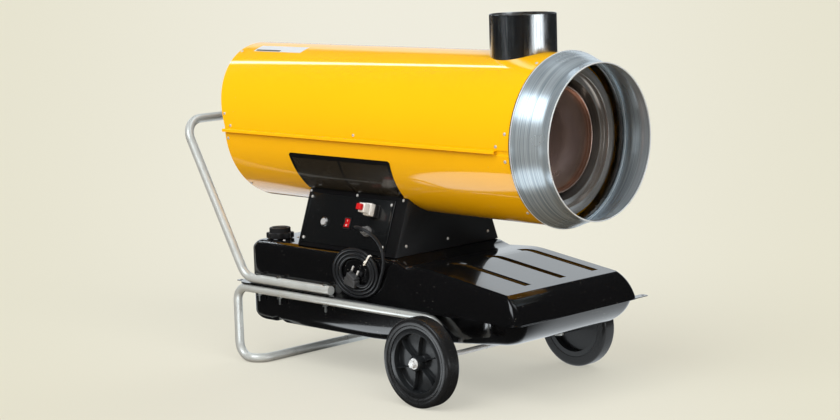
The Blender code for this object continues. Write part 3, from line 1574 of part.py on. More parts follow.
# Tube frame, axle and wheels

def frame_bolt_seats():
    return [(x, side * tube_offset) for x in frame_bolt_xs for side in (-1, 1)]


def build_bolts():
    head_seat = handle_z + tube_flat
    bottom = stand_z - tube_flat
    holes = rods("bolt_holes", [((x, y, head_seat + cut_overrun), (x, y, bottom - cut_overrun),
                                 hole_radius(bolt_radius, 6)) for x, y in frame_bolt_seats()], None, 6)
    nut_top = bottom - fit_gap
    nut_low = nut_top - bolt_nut_height
    outline = [
        (0, head_seat + bolt_head_height), (bolt_head_radius, head_seat + bolt_head_height),
        (bolt_head_radius, head_seat + fit_gap), (bolt_radius, head_seat + fit_gap),
        (bolt_radius, nut_top), (bolt_nut_radius, nut_top), (bolt_nut_radius, nut_low),
        (bolt_radius, nut_low), (bolt_radius, bottom - bolt_tail), (0, bottom - bolt_tail)]
    for i, (x, y) in enumerate(frame_bolt_seats(), start=1):
        turned(f"frame_bolt_{i}", [outline], zinc, 6, Matrix.Translation((x, y, 0)))
    return holes


def build_frame(bolt_holes):
    corners = [
        (handle_end_x, -tube_offset, handle_z), (handle_lower_x, -tube_offset, handle_z),
        (handle_bar_x, -tube_offset, handle_bar_height), (handle_bar_x, tube_offset, handle_bar_height),
        (handle_lower_x, tube_offset, handle_z), (handle_end_x, tube_offset, handle_z)]
    radii = [handle_lower_bend, handle_upper_bend, handle_upper_bend, handle_lower_bend]
    handle_route = rounded_route(corners, radii, 2)
    handle = as_mesh(tube("handle_frame", handle_route, tube_radius, galvanised, tube_sides // 2 - 2))
    boolean(handle, bolt_holes)

    half = [
        (axle_x, -tube_offset, wheel_radius - stand_end_drop), (axle_x, -tube_offset, stand_z),
        (stand_rear_x, -tube_offset, stand_z), (stand_rear_x, -tube_offset, tube_flat),
        (stand_foot_x, -tube_offset, tube_flat)]
    corners = half + [(x, -y, z) for x, y, z in reversed(half)]
    one_side = [stand_front_bend, stand_rear_bend, stand_rear_bend, stand_foot_bend]
    radii = one_side + list(reversed(one_side))
    half_side = math.pi / tube_sides
    stand_route = rounded_route(corners, radii, 2)
    stand = as_mesh(tube("stand_frame", stand_route, tube_radius, galvanised, tube_sides // 2 - 2, half_side))
    boolean(stand, bolt_holes)
    axle_end = wheel_outer_face + washer_thickness + axle_nut_height + 2 * fit_gap
    axle_hole = rods("axle_hole", [((axle_x, -axle_end, wheel_radius), (axle_x, axle_end, wheel_radius),
                                    hole_radius(axle_radius, 12))], None, 12)
    boolean(stand, axle_hole)

    rods("axle", [((0, -axle_end, 0), (0, axle_end, 0), axle_radius)], zinc, 12,
         Matrix.Translation((axle_x, 0, wheel_radius)))
    for label, side in (("right", -1), ("left", 1)):
        matrix = frame_of((0, side, 0), (axle_x, 0, wheel_radius))
        low = wheel_outer_face + fit_gap
        bore = hole_radius(axle_radius, 12)
        nut = [
            (axle_nut_radius, low + washer_thickness + axle_nut_height),
            (axle_nut_radius, low + washer_thickness), (washer_radius, low + washer_thickness),
            (washer_radius, low), (bore, low), (bore, low + washer_thickness + axle_nut_height)]
        turned(f"axle_nut_{label}", [nut], zinc, 12, matrix)


def build_wheel(label, side):
    at_wheel = frame_of((0, side, 0), (axle_x, 0, wheel_radius))
    flat_down = Matrix.Rotation(math.pi / wheel_segments, 4, "Z")
    outer = wheel_outer_face
    inner = outer - wheel_width
    reach = wheel_radius / math.cos(math.pi / wheel_segments)
    tyre = [
        (tyre_inner_radius, outer - rim_inset / 2), (reach - tyre_shoulder, outer - rim_inset / 2),
        (reach, outer - rim_inset / 2 - tyre_shoulder), (reach, inner + rim_inset / 2 + tyre_shoulder),
        (reach - tyre_shoulder, inner + rim_inset / 2), (tyre_inner_radius, inner + rim_inset / 2)]
    turned(f"wheel_{label}_tyre", [tyre], rubber, wheel_segments, at_wheel @ flat_down)

    rim_outer = tyre_inner_radius - fit_gap
    web_top = (outer + inner) / 2 + web_thickness / 2
    web_low = web_top - web_thickness
    bore = axle_radius + 2 * fit_gap
    boss_inner = tube_offset + tube_radius + 2 * fit_gap
    hub = [
        (rim_outer, outer - rim_inset), (rim_outer, inner + rim_inset),
        (rim_inner_radius, inner + rim_inset), (rim_inner_radius, web_low),
        (hub_boss_radius, web_low), (hub_boss_radius, boss_inner), (bore, boss_inner), (bore, outer),
        (hub_boss_radius, outer), (hub_boss_radius, web_top), (rim_inner_radius, web_top),
        (rim_inner_radius, outer - rim_inset)]
    wheel = turned(f"wheel_{label}_hub", [hub], black_plastic, wheel_segments, at_wheel @ flat_down)
    for i in range(rib_count):
        bm = bmesh.new()
        low = hub_boss_radius - rib_overlap
        high = rim_inner_radius + rib_overlap
        steps = 2
        line = []
        for k in range(steps + 1):
            share = k / steps
            radius = low + (high - low) * share
            swing = rib_lean * math.sin(math.pi * share) / 2
            line.append(Vector((radius * math.cos(swing), radius * math.sin(swing), 0)))
        low_z = web_top - rib_overlap
        high_z = web_top + rib_depth
        lower = [bm.verts.new((p.x, p.y, low_z)) for p in line]
        upper = [bm.verts.new((p.x, p.y, high_z)) for p in line]
        for k in range(steps):
            bm.faces.new((lower[k], lower[k + 1], upper[k + 1], upper[k]))
        mesh = bpy.data.meshes.new("wheel_rib")
        bm.to_mesh(mesh)
        bm.free()
        turn = Matrix.Rotation(math.tau * (i + rib_turn_share) / rib_count, 4, "Z")
        rib = add_object(f"wheel_{label}_rib_{i}", mesh, None, at_wheel @ turn)
        sheet = rib.modifiers.new("sheet", "SOLIDIFY")
        sheet.thickness = rib_thickness
        sheet.offset = 0
        boolean(wheel, rib, "UNION")


# Pieces inside the control housing

def build_housing_contents():
    tray_z = tank_top_height + fit_gap
    half = housing_bottom_half_width - housing_wall - tray_margin
    start = housing_rear_x + housing_wall + fit_gap
    end = housing_front_x - housing_wall - fit_gap
    tray = box("component_tray", (end - start, 2 * half, tray_thickness),
               ((start + end) / 2, 0, tray_z + tray_thickness / 2), galvanised)
    pipe_hole = rods("tray_pipe_hole", [((filter_x, filter_y, tray_z - cut_overrun),
                                         (filter_x, filter_y, tray_z + cut_overrun),
                                         pipe_radius + pipe_hole_clearance)], None, 8)
    boolean(tray, pipe_hole)
    top = tray_z + tray_thickness + fit_gap
    box("ignition_transformer", transformer_size,
        (transformer_x, transformer_y, top + transformer_size.z / 2), motor_paint)
    box("burner_control", control_box_size,
        (control_box_x, control_box_y, top + control_box_size.z / 2), grey_plastic)
    bore = pipe_radius + fit_gap
    filter_body = [(filter_radius, top + filter_height), (filter_radius, top), (bore, top),
                   (bore, top + filter_height)]
    turned("fuel_filter", [filter_body], zinc, 16, Matrix.Translation((filter_x, filter_y, 0)))
    pipe_top = top + filter_height / 2 - fit_gap
    pipe_low = tank_bottom_height + tank_sheet + pipe_bottom_gap
    rods("suction_pipe", [((0, 0, pipe_low), (0, 0, pipe_top), pipe_radius)], copper, 10,
         Matrix.Translation((filter_x, filter_y, 0)))
    pump_under = axis_height - pump_radius - fit_gap * 2
    hose_low = top + filter_height / 2 + fit_gap
    corners = [
        (filter_x, filter_y, hose_low), (filter_x, filter_y, axis_height - casing_radius + hose_bow / 2),
        (pump_port_x, 0, axis_height - casing_radius + hose_bow), (pump_port_x, 0, pump_under)]
    tube("fuel_hose", rounded_route(corners, [hose_bow / 3, hose_bow / 3], 4), pipe_radius, rubber, 2)


# Power cord

def eased_span(start, start_pull, end, end_pull, count):
    """Smooth curve from one place to another that leaves and arrives along the two pulls."""
    route = []
    for i in range(count + 1):
        t = i / count
        first = 2 * t**3 - 3 * t**2 + 1
        last = 3 * t**2 - 2 * t**3
        leave = t**3 - 2 * t**2 + t
        arrive = t**3 - t**2
        route.append(start * first + end * last + start_pull * leave + end_pull * arrive)
    return route


def coil_centre_z():
    """Height at which the lowest loop rests on the tank's flange."""
    lowest_turn = (coil_start_angle + math.pi / 2) / math.tau
    reach = coil_half_height - coil_pitch_up * lowest_turn + cord_radius
    return tank_upper_plane + tank_sheet + fit_gap + reach


def coil_place(turn):
    """A place on the spiral, counted in turns from its start at the top right."""
    angle = coil_start_angle - math.tau * turn
    across = coil_half_width - coil_pitch_across * turn
    up = coil_half_height - coil_pitch_up * turn
    y = -(tank_half_width + coil_wall_gap + cord_radius)
    return Vector((coil_x + across * math.cos(angle), y, coil_centre_z() + up * math.sin(angle)))


def plug_heading():
    return Vector((-math.cos(plug_rise), 0, math.sin(plug_rise)))


def coil_route():
    """Clockwise loops side by side on the tank's wall, spiralling in to the plug."""
    places = [coil_place(i / coil_points_per_turn) for i in range(coil_steps + 1)]
    start_direction = (places[0] - places[1]).normalized()
    run = (places[-1] - places[-2]).normalized()
    plug_y = -(tank_half_width + coil_wall_gap + plug_body_thickness / 2)
    entry = Vector((coil_x + plug_entry_ahead, plug_y, coil_centre_z() - plug_entry_drop))
    straight = entry - plug_heading() * 2 * cord_radius
    pull = (straight - places[-1]).length * tail_slack
    tail = eased_span(places[-1], run * pull, straight, plug_heading() * pull, tail_points)
    places.insert(0, places[0] + start_direction * 2 * cord_radius)
    return places + tail[1:] + [entry]


def least_self_gap(places, radius, apart):
    """Least gap between stretches of the tube that lie apart along it."""
    fine = []
    for start, end in zip(places, places[1:]):
        fine += [start.lerp(end, k / 4) for k in range(4)]
    least = math.inf
    skip = apart * 4
    for i in range(len(fine)):
        for j in range(i + skip, len(fine)):
            least = min(least, (fine[i] - fine[j]).length)
    return least - 2 * radius


def build_cord(gland_mouth):
    mouth_frame = panel_frame(gland_x, gland_z, gland_mouth)
    mouth = mouth_frame.translation
    outward = mouth_frame.to_3x3() @ Vector((0, 0, 1))
    coil = coil_route()
    back = (coil[0] - coil[1]).normalized()
    start = mouth + outward * fit_gap
    end = coil[0] + back * fit_gap
    bend_start = start + outward * 2 * cord_radius
    bend_end = end + back * 2 * cord_radius
    pull = (bend_end - bend_start).length * lead_slack
    route = eased_span(bend_start, outward * pull, bend_end, -back * pull, lead_points)
    tube("cord_lead", [start] + route + [end], cord_radius, rubber, 2)
    tube("cord_coil", coil, cord_radius, rubber, 1)
    gap = least_self_gap(coil, cord_radius, 6)
    print(f"cord coil: least gap to itself {gap * 1000:.2f} mm")

    first = round((coil_start_angle - tie_angle) / math.tau * coil_points_per_turn)
    loops = (coil_steps - first) // coil_points_per_turn
    outermost = coil_place(first / coil_points_per_turn)
    innermost = coil_place(first / coil_points_per_turn + loops)
    ahead = coil_place((first + 1) / coil_points_per_turn)
    run_axis = (ahead - coil_place((first - 1) / coil_points_per_turn)).normalized()
    normal_axis = Vector((0, 1, 0))
    radial_axis = normal_axis.cross(run_axis)
    turn = Matrix((radial_axis, normal_axis, run_axis)).transposed().to_4x4()
    matrix = Matrix.Translation((outermost + innermost) / 2) @ turn
    half_a = abs((outermost - innermost).dot(radial_axis)) / 2 + cord_radius + tie_ease
    half_b = cord_radius + fit_gap
    inner = rounded_box_outline(half_a, half_b)
    outer = rounded_box_outline(half_a + tie_thickness, half_b + tie_thickness)
    flat_outline("cord_tie", [outer, inner], tie_width, white_plastic, matrix)

    build_plug(coil[-1], plug_heading())


def build_plug(cord_end, run):
    """Angled two-pin plug: the cord enters its body, and the pins stand out of its face."""
    out = Vector((0, -1, 0))
    up = run.cross(out).normalized()
    if up.z < 0:
        up = -up
    turn = Matrix((run, out, up)).transposed().to_4x4()
    middle = cord_end + run * (fit_gap + plug_body_length / 2)
    size = (plug_body_length, plug_body_thickness, plug_body_height)
    body = box("power_plug", size, (0, 0, 0), black_plastic, Matrix.Translation(middle) @ turn)
    edges = body.modifiers.new("edges", "BEVEL")
    edges.width = plug_edge_radius
    edges.segments = 1
    lean = Vector((math.sin(plug_pin_lean), 0, math.cos(plug_pin_lean)))
    across = Vector((lean.z, 0, -lean.x))
    face_turn = Matrix((across, out, lean)).transposed().to_4x4()
    face_middle = middle + up * (plug_body_height / 2) + lean * (plug_face_height / 4)
    face_size = (plug_face_length, plug_body_thickness, plug_face_height)
    face = box("plug_face", face_size, (0, 0, 0), None, Matrix.Translation(face_middle) @ face_turn)
    boolean(body, face, "UNION")
    pins = []
    for side in (-1, 1):
        base = face_middle + across * side * plug_pin_spacing / 2
        top = base + lean * (plug_face_height / 2 + plug_sleeve_length)
        pins.append((base, top, plug_sleeve_radius))
        pins.append((top - lean * plug_sleeve_length / 2, top + lean * plug_pin_length, plug_pin_radius))
    sleeves = rods("plug_sleeves", pins[0::2], None, 8)
    tips = rods("plug_tips", pins[1::2], None, 8)
    boolean(body, sleeves, "UNION")
    boolean(body, tips, "UNION")


def rounded_box_outline(half_a, half_b):
    corner = min(half_a, half_b) * plug_corner_share
    quarter = math.pi / 2
    outline = []
    for i, (a, b) in enumerate(((1, 1), (-1, 1), (-1, -1), (1, -1))):
        centre = (a * (half_a - corner), b * (half_b - corner))
        outline += arc(corner, i * quarter, (i + 1) * quarter, 3, centre)
    return outline


clear_scene()
flue_cutter = build_casing()
build_rings()
build_outlet_cone()
build_heat_exchanger(flue_cutter)
build_fan_guard()
build_rotor()
build_motor()
build_burner()
build_housing()
gland_mouth_height = build_panel()
frame_holes = build_bolts()
build_tank(frame_holes)
build_filler()
build_frame(frame_holes)
build_wheel("right", -1)
build_wheel("left", 1)
build_housing_contents()
build_cord(gland_mouth_height)
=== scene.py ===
import math

import bmesh
import bpy
from mathutils import Matrix, Vector


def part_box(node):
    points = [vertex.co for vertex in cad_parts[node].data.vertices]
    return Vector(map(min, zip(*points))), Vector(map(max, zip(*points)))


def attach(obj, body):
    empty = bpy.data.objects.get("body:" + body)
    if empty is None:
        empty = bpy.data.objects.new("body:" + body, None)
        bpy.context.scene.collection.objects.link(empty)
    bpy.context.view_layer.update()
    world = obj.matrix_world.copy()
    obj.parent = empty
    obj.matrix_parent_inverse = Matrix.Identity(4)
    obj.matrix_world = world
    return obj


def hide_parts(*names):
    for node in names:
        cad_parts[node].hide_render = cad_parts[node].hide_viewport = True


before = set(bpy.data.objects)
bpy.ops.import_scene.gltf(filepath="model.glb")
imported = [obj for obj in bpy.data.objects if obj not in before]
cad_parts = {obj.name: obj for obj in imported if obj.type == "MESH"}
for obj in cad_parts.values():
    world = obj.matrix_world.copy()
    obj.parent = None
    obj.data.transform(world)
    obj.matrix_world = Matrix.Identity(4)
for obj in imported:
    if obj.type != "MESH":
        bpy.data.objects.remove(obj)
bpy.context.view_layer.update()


# Studio: a pale cream floor that fills the view, an even overcast light for the colours, and
# soft boxes that only glossy surfaces show. The camera stands a little above the heater, off
# its outlet end.

scene = bpy.context.scene
stage_collection = bpy.data.collections.new("studio")
heater_collection = bpy.data.collections.new("heater")
for collection in (stage_collection, heater_collection):
    scene.collection.children.link(collection)

camera_place = Vector((3.3747, -3.3259, 1.0763))
camera_yaw = math.radians(45.07)
camera_pitch = math.radians(8.33)
camera_roll = math.radians(-1.73)
camera_sensor = 36.0
focal_pixels = 2012.65
frame_pixels = 840


def axes_frame(x_axis, y_axis, z_axis, place=(0, 0, 0)):
    """World matrix of a frame from its three axes and its origin."""
    return Matrix.Translation(Vector(place)) @ Matrix((x_axis, y_axis, z_axis)).transposed().to_4x4()


def new_object(name, data, collection):
    item = bpy.data.objects.new(name, data)
    collection.objects.link(item)
    return item


camera_data = bpy.data.cameras.new("camera")
camera_data.sensor_width = camera_sensor
camera_data.lens = focal_pixels / frame_pixels * camera_sensor
camera = new_object("camera", camera_data, stage_collection)
ahead = Vector((-math.sin(camera_yaw) * math.cos(camera_pitch),
                math.cos(camera_yaw) * math.cos(camera_pitch), -math.sin(camera_pitch)))
level_right = Vector((math.cos(camera_yaw), math.sin(camera_yaw), 0))
level_up = level_right.cross(ahead)
camera_right = level_right * math.cos(camera_roll) + level_up * math.sin(camera_roll)
camera_up = level_up * math.cos(camera_roll) - level_right * math.sin(camera_roll)
camera.matrix_world = axes_frame(camera_right, camera_up, -ahead, camera_place)
scene.camera = camera
scene.view_settings.view_transform = "Standard"


class Nodes:
    """A node tree with short calls to add nodes and join them."""

    def __init__(self, tree):
        self.tree = tree

    def set(self, socket, value):
        if isinstance(value, bpy.types.NodeSocket):
            self.tree.links.new(value, socket)
        else:
            socket.default_value = value

    def add(self, kind, inputs=None, **settings):
        node = self.tree.nodes.new(kind)
        for key, value in settings.items():
            setattr(node, key, value)
        for key, value in (inputs or {}).items():
            self.set(node.inputs[key], value)
        return node

    def maths(self, operation, *values):
        return self.add("ShaderNodeMath", dict(enumerate(values)), operation=operation).outputs[0]

    def times(self, first, second):
        return self.maths("MULTIPLY", first, second)

    def plus(self, first, second):
        return self.maths("ADD", first, second)

    def minus(self, first, second):
        return self.maths("SUBTRACT", first, second)

    def vector(self, operation, *values, output="Vector"):
        return self.add("ShaderNodeVectorMath", dict(enumerate(values)), operation=operation).outputs[output]

    def scaled(self, vector, scale):
        return self.add("ShaderNodeVectorMath", {0: vector, "Scale": scale}, operation="SCALE").outputs[0]

    def span(self, value, low, high, to_low=0.0, to_high=1.0, soft=False):
        ends = {"Value": value, "From Min": low, "From Max": high, "To Min": to_low, "To Max": to_high}
        kind = "SMOOTHSTEP" if soft else "LINEAR"
        return self.add("ShaderNodeMapRange", ends, interpolation_type=kind).outputs["Result"]

    def blend(self, factor, first, second, mode="MIX"):
        sides = {0: factor, 6: first, 7: second}
        return self.add("ShaderNodeMix", sides, data_type="RGBA", blend_type=mode).outputs[2]

    def noise(self, place, scale, detail):
        inputs = {"Vector": place, "Scale": scale, "Detail": detail}
        return self.add("ShaderNodeTexNoise", inputs).outputs["Fac"]

    def object_place(self):
        return self.add("ShaderNodeTexCoord").outputs["Object"]

    def stretched(self, place, scale=(1, 1, 1), location=(0, 0, 0)):
        inputs = {"Vector": place, "Scale": scale, "Location": location}
        return self.add("ShaderNodeMapping", inputs).outputs[0]

    def group(self, other, inputs):
        return self.add("ShaderNodeGroup", inputs, node_tree=other.tree).outputs

    def ends(self):
        self.given = self.add("NodeGroupInput").outputs
        self.taken = self.add("NodeGroupOutput").inputs
        return self

    def give(self, label, value):
        self.set(self.taken[label], value)


def new_socket(tree, label, side, kind):
    return tree.interface.new_socket(label, in_out=side, socket_type=f"NodeSocket{kind}")


def shader_group(name, inputs, outputs):
    """A node group with named inputs, each with its value, and named outputs."""
    tree = bpy.data.node_groups.new(name, "ShaderNodeTree")
    for label, (kind, value) in inputs.items():
        new_socket(tree, label, "INPUT", kind).default_value = value
    for label, kind in outputs.items():
        new_socket(tree, label, "OUTPUT", kind)
    return Nodes(tree).ends()


def own_nodes(block):
    """The emptied node tree of a material or the world."""
    block.use_nodes = True
    block.node_tree.nodes.clear()
    return Nodes(block.node_tree)


cream = (0.745, 0.73, 0.64, 1.0)
cream_shaded_edge = (0.685, 0.667, 0.55, 1.0)
day_tint = (1.0, 0.99, 0.97, 1.0)
gloss_tint = (0.90, 0.96, 1.0, 1.0)
dull_paper = (0.56, 0.47, 0.36, 1.0)
lamp_colour = (1.0, 0.985, 0.96)
lamp_spread = math.radians(45)
overcast_level = 0.52
studio_dim = 0.024
lamps = (("overhead_lamp", (-0.05, 0.72, -0.70), 2.0), ("outlet_lamp", (-0.80, 0.30, -0.52), 1.5),
         ("far_lamp", (0.10, -0.80, -0.55), 0.8))
floor_reach = 60.0

soft_box = shader_group(
    "soft_box",
    {"Direction": ("Vector", (0, 0, 0)), "Centre": ("Vector", (0, 0, 1)), "Across": ("Vector", (1, 0, 0)),
     "Half Width": ("Float", 0.2), "Half Height": ("Float", 0.2), "Edge": ("Float", 0.05)},
    {"Mask": "Float"})
box = soft_box.given
centre = soft_box.vector("NORMALIZE", box["Centre"])
upright = soft_box.vector("CROSS_PRODUCT", centre, box["Across"])
mask = soft_box.span(soft_box.vector("DOT_PRODUCT", box["Direction"], centre, output="Value"), 0.0, 0.05)
for axis, half in ((box["Across"], "Half Width"), (upright, "Half Height")):
    far = soft_box.maths("ABSOLUTE", soft_box.vector("DOT_PRODUCT", box["Direction"], axis, output="Value"))
    inner = soft_box.minus(box[half], box["Edge"])
    outer = soft_box.plus(box[half], box["Edge"])
    mask = soft_box.times(mask, soft_box.span(far, inner, outer, 1.0, 0.0, soft=True))
soft_box.give("Mask", mask)

# Centre direction, half width, half height, edge, level and roll in degrees of each soft box.
soft_boxes = (
    ((-0.72, 0.19, 0.665), 0.014, 0.34, 0.012, 8.0, 76),
    ((-0.70, 0.66, 0.20), 0.62, 0.24, 0.05, 0.85, 0),
    ((-0.06, -0.72, 0.69), 0.26, 0.26, 0.09, 2.7, 0),
    ((0.99, 0.12, -0.04), 0.33, 0.13, 0.04, 3.4, 0),
    ((0.20, 0.30, 0.93), 0.35, 0.25, 0.10, 1.0, 0),
)
scene.world = bpy.data.worlds.new("studio")
sky = own_nodes(scene.world)
direction = sky.add("ShaderNodeTexCoord").outputs["Generated"]
ray = sky.add("ShaderNodeLightPath").outputs
glossy_level = studio_dim
for box_centre, half_width, half_height, edge, level, roll in soft_boxes:
    middle = Vector(box_centre).normalized()
    across = Matrix.Rotation(math.radians(roll), 3, middle) @ Vector((0, 0, 1)).cross(middle).normalized()
    shape = sky.group(soft_box, {"Direction": direction, "Centre": middle, "Across": across,
                                 "Half Width": half_width, "Half Height": half_height, "Edge": edge})
    glossy_level = sky.plus(glossy_level, sky.times(shape["Mask"], level))
plain_level = sky.plus(sky.times(ray["Is Camera Ray"], 1.0 - overcast_level), overcast_level)
level = sky.add("ShaderNodeMix", {0: ray["Is Glossy Ray"], 2: plain_level, 3: glossy_level},
                data_type="FLOAT")
tint = sky.blend(ray["Is Glossy Ray"], sky.blend(ray["Is Camera Ray"], day_tint, cream), gloss_tint)
sky_light = sky.add("ShaderNodeBackground", {"Color": tint, "Strength": level.outputs[0]})
sky.add("ShaderNodeOutputWorld", {"Surface": sky_light.outputs[0]})

for lamp_name, heading, level in lamps:
    lamp_data = bpy.data.lights.new(lamp_name, "SUN")
    lamp_data.energy = level
    lamp_data.angle = lamp_spread
    lamp_data.color = lamp_colour
    lamp = new_object(lamp_name, lamp_data, stage_collection)
    lamp.visible_glossy = False
    lamp.rotation_euler = Vector(heading).to_track_quat("-Z", "Y").to_euler()

# Gloss shows the lit patches of the floor, as centre, radius and level: under and behind the
# heater, ahead of the outlet, and far ahead. The rest of the floor is dark to it, which keeps
# the sides of the tank black. The seen floor carries painted shade: it darkens a little towards the sides of
# the view.
lit_patches = (((0.15, 0.75), 0.85, 0.8), ((1.55, 0.30), 0.45, 1.6), ((5.4, 0.6), 2.2, 1.5),
               ((13.0, 0.5), 5.5, 2.6), ((0.47, -0.80), 0.30, 1.2), ((-1.1, -4.0), 1.0, 1.3),
               ((-1.0, 0.35), 0.38, 1.2), ((-0.14, -0.50), 0.24, 2.3))
camera_distance = 4.74
plain_share = 0.55
floor_material = bpy.data.materials.new("pale_floor")
ground = own_nodes(floor_material)
place = ground.object_place()
ray = ground.add("ShaderNodeLightPath").outputs
aside = ground.vector("DOT_PRODUCT", place, (0.707, 0.707, 0), output="Value")
behind = ground.vector("DOT_PRODUCT", place, (-0.707, 0.707, 0), output="Value")
depth = ground.maths("MAXIMUM", ground.plus(camera_distance, behind), 0.5)
sideways = ground.maths("ABSOLUTE", ground.maths("DIVIDE", aside, depth))
# Painted shade: the floor's colour darkens towards the sides of the view.
floor_colour = ground.blend(ground.span(sideways, 0.02, 0.24, soft=True), cream, cream_shaded_edge)
paper_level = studio_dim
for patch_centre, reach, level in lit_patches:
    away = ground.vector("LENGTH", ground.vector("SUBTRACT", place, (*patch_centre, 0)), output="Value")
    lit = ground.span(away, reach * 0.88, reach * 1.06, level, 0.0, soft=True)
    paper_level = ground.plus(paper_level, lit)


def floor_shader(kind, inputs):
    return ground.add(f"ShaderNode{kind}", inputs).outputs[0]


glossy_floor = floor_shader("Emission", {"Color": gloss_tint, "Strength": paper_level})
matt_floor = floor_shader("BsdfDiffuse", {"Color": floor_colour})
plain_floor = floor_shader("Emission", {"Color": floor_colour})
dull_floor = floor_shader("BsdfDiffuse", {"Color": dull_paper})
seen_floor = floor_shader("MixShader", {0: plain_share, 1: matt_floor, 2: plain_floor})
camera_split = floor_shader("MixShader", {0: ray["Is Camera Ray"], 1: dull_floor, 2: seen_floor})
glossy_split = floor_shader("MixShader", {0: ray["Is Glossy Ray"], 1: camera_split, 2: glossy_floor})
ground.add("ShaderNodeOutputMaterial", {"Surface": glossy_split})

floor_shape = bmesh.new()
bmesh.ops.create_circle(floor_shape, cap_ends=True, segments=64, radius=floor_reach)
floor_mesh = bpy.data.meshes.new("floor")
floor_shape.to_mesh(floor_mesh)
floor_shape.free()
floor_mesh.materials.append(floor_material)
floor = new_object("floor", floor_mesh, stage_collection)
floor.location.z = -0.0005


# Power cord: 1.33 m of black round rubber flex that leaves the gland, is wound into a flat
# hank against the side of the tank and is held by a white cable tie. Its angled two-pin
# plug is moulded on and hangs inside the hank.


def hand_over(name, mesh, material=None, stands_for=None, body="heater"):
    """Make a mesh a piece of the heater that rides on a body and stands for a CAD node."""
    mesh.name = name
    if material is not None:
        mesh.materials.clear()
        mesh.materials.append(material)
    piece = new_object(name, mesh, heater_collection)
    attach(piece, body)
    if stands_for:
        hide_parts(stands_for)
    return piece


def mesh_of(shape, name="part"):
    """The finished mesh of a bmesh, which is freed."""
    mesh = bpy.data.meshes.new(name)
    shape.to_mesh(mesh)
    shape.free()
    return mesh


def close_mesh(shape, sharp_degrees=35):
    """Merge doubles, face the shape outwards and shade it smooth up to a sharp angle."""
    bmesh.ops.remove_doubles(shape, verts=shape.verts, dist=0.00002)
    bmesh.ops.recalc_face_normals(shape, faces=shape.faces)
    return shaded(mesh_of(shape), sharp_degrees)


def shaded(mesh, sharp_degrees):
    mesh.shade_smooth()
    mesh.set_sharp_from_angle(angle=math.radians(sharp_degrees))
    return mesh


def skin(shape, rows, closed=True, looped=False, caps=False):
    """Faces between neighbouring rows of places, where a row of one place is a pole.

    Closed rows join end to end, looped ones join the last row to the first, and caps fill
    the first row and the last.
    """
    rows = [[shape.verts.new(place) for place in row] for row in rows]
    for first, second in zip(rows, rows[1:] + rows[:looped]):
        count = max(len(first), len(second))
        for i in range(count if closed else count - 1):
            k = (i + 1) % count
            if len(first) == 1 < count:
                shape.faces.new((first[0], second[i], second[k]))
            elif len(second) == 1 < count:
                shape.faces.new((first[i], first[k], second[0]))
            elif count > 1:
                shape.faces.new((first[i], first[k], second[k], second[i]))
    if caps:
        shape.faces.new(rows[0][::-1])
        shape.faces.new(rows[-1])
    return rows


def frame_of(direction, location):
    """Frame whose local Z points along the direction."""
    z_axis = Vector(direction).normalized()
    hint = Vector((1, 0, 0)) if abs(z_axis.z) > 0.99 else Vector((0, 0, 1))
    x_axis = hint.cross(z_axis).normalized()
    return axes_frame(x_axis, z_axis.cross(x_axis), z_axis, location)


def moved(matrix, x=0.0, y=0.0, z=0.0):
    """A frame moved along its own axes."""
    return matrix @ Matrix.Translation((x, y, z))


def add_rod(shape, start, end, radius, segments=24, rounding=0.0):
    """A round bar between two places, with its rim rounded at the far end."""
    start, end = Vector(start), Vector(end)
    length = (end - start).length
    outline = [(0, 0), (radius, 0)]
    for i in range(5 if rounding else 1):
        angle = math.pi / 2 * i / 4
        outline.append((radius - rounding * (1 - math.cos(angle)), length - rounding * (1 - math.sin(angle))))
    add_turned(shape, outline + [(0, length)], frame_of(end - start, start), segments)


def ring_of(radius, height, segments):
    turns = [math.tau * i / segments for i in range(segments)]
    return [Vector((radius * math.cos(turn), radius * math.sin(turn), height)) for turn in turns]


def add_turned(shape, outline, matrix, segments=48, closed_loop=False):
    """A turned solid from (radius, height) points, from the axis back to the axis or a loop."""
    skin(shape, [[matrix @ place for place in ring_of(radius, height, segments if radius > 1e-7 else 1)]
              for radius, height in outline], looped=closed_loop)


def add_block(shape, size, matrix, rounding=0.0, segments=3):
    """A block with rounded edges."""
    made = bmesh.ops.create_cube(shape, size=1.0)["verts"]
    bmesh.ops.scale(shape, vec=Vector(size), verts=made)
    bmesh.ops.transform(shape, matrix=matrix, verts=made)
    if rounding:
        edges = list({edge for vert in made for edge in vert.link_edges})
        bmesh.ops.bevel(shape, geom=edges, offset=rounding, segments=segments, profile=0.5, affect="EDGES")


mottle = shader_group(
    "mottle",
    {"Place": ("Vector", (0, 0, 0)), "Colour": ("Color", (0.5, 0.5, 0.5, 1)), "Tone": ("Float", 0.1),
     "Tone Scale": ("Float", 9.0), "Roughness": ("Float", 0.4), "Spread": ("Float", 0.08),
     "Grain Scale": ("Float", 900.0)},
    {"Colour": "Color", "Roughness": "Float", "Height": "Float"})
base = mottle.given
fine = mottle.noise(base["Place"], base["Grain Scale"], 2.0)
swing = mottle.minus(mottle.noise(base["Place"], base["Tone Scale"], 4.0), 0.5)
level = mottle.plus(1.0, mottle.times(mottle.times(swing, base["Tone"]), 2.0))
both = mottle.plus(swing, mottle.times(mottle.minus(fine, 0.5), 0.5))
rough = mottle.plus(base["Roughness"], mottle.times(both, base["Spread"]))
mottle.give("Colour", mottle.scaled(base["Colour"], level))
mottle.give("Roughness", mottle.maths("MAXIMUM", rough, 0.03))
mottle.give("Height", fine)

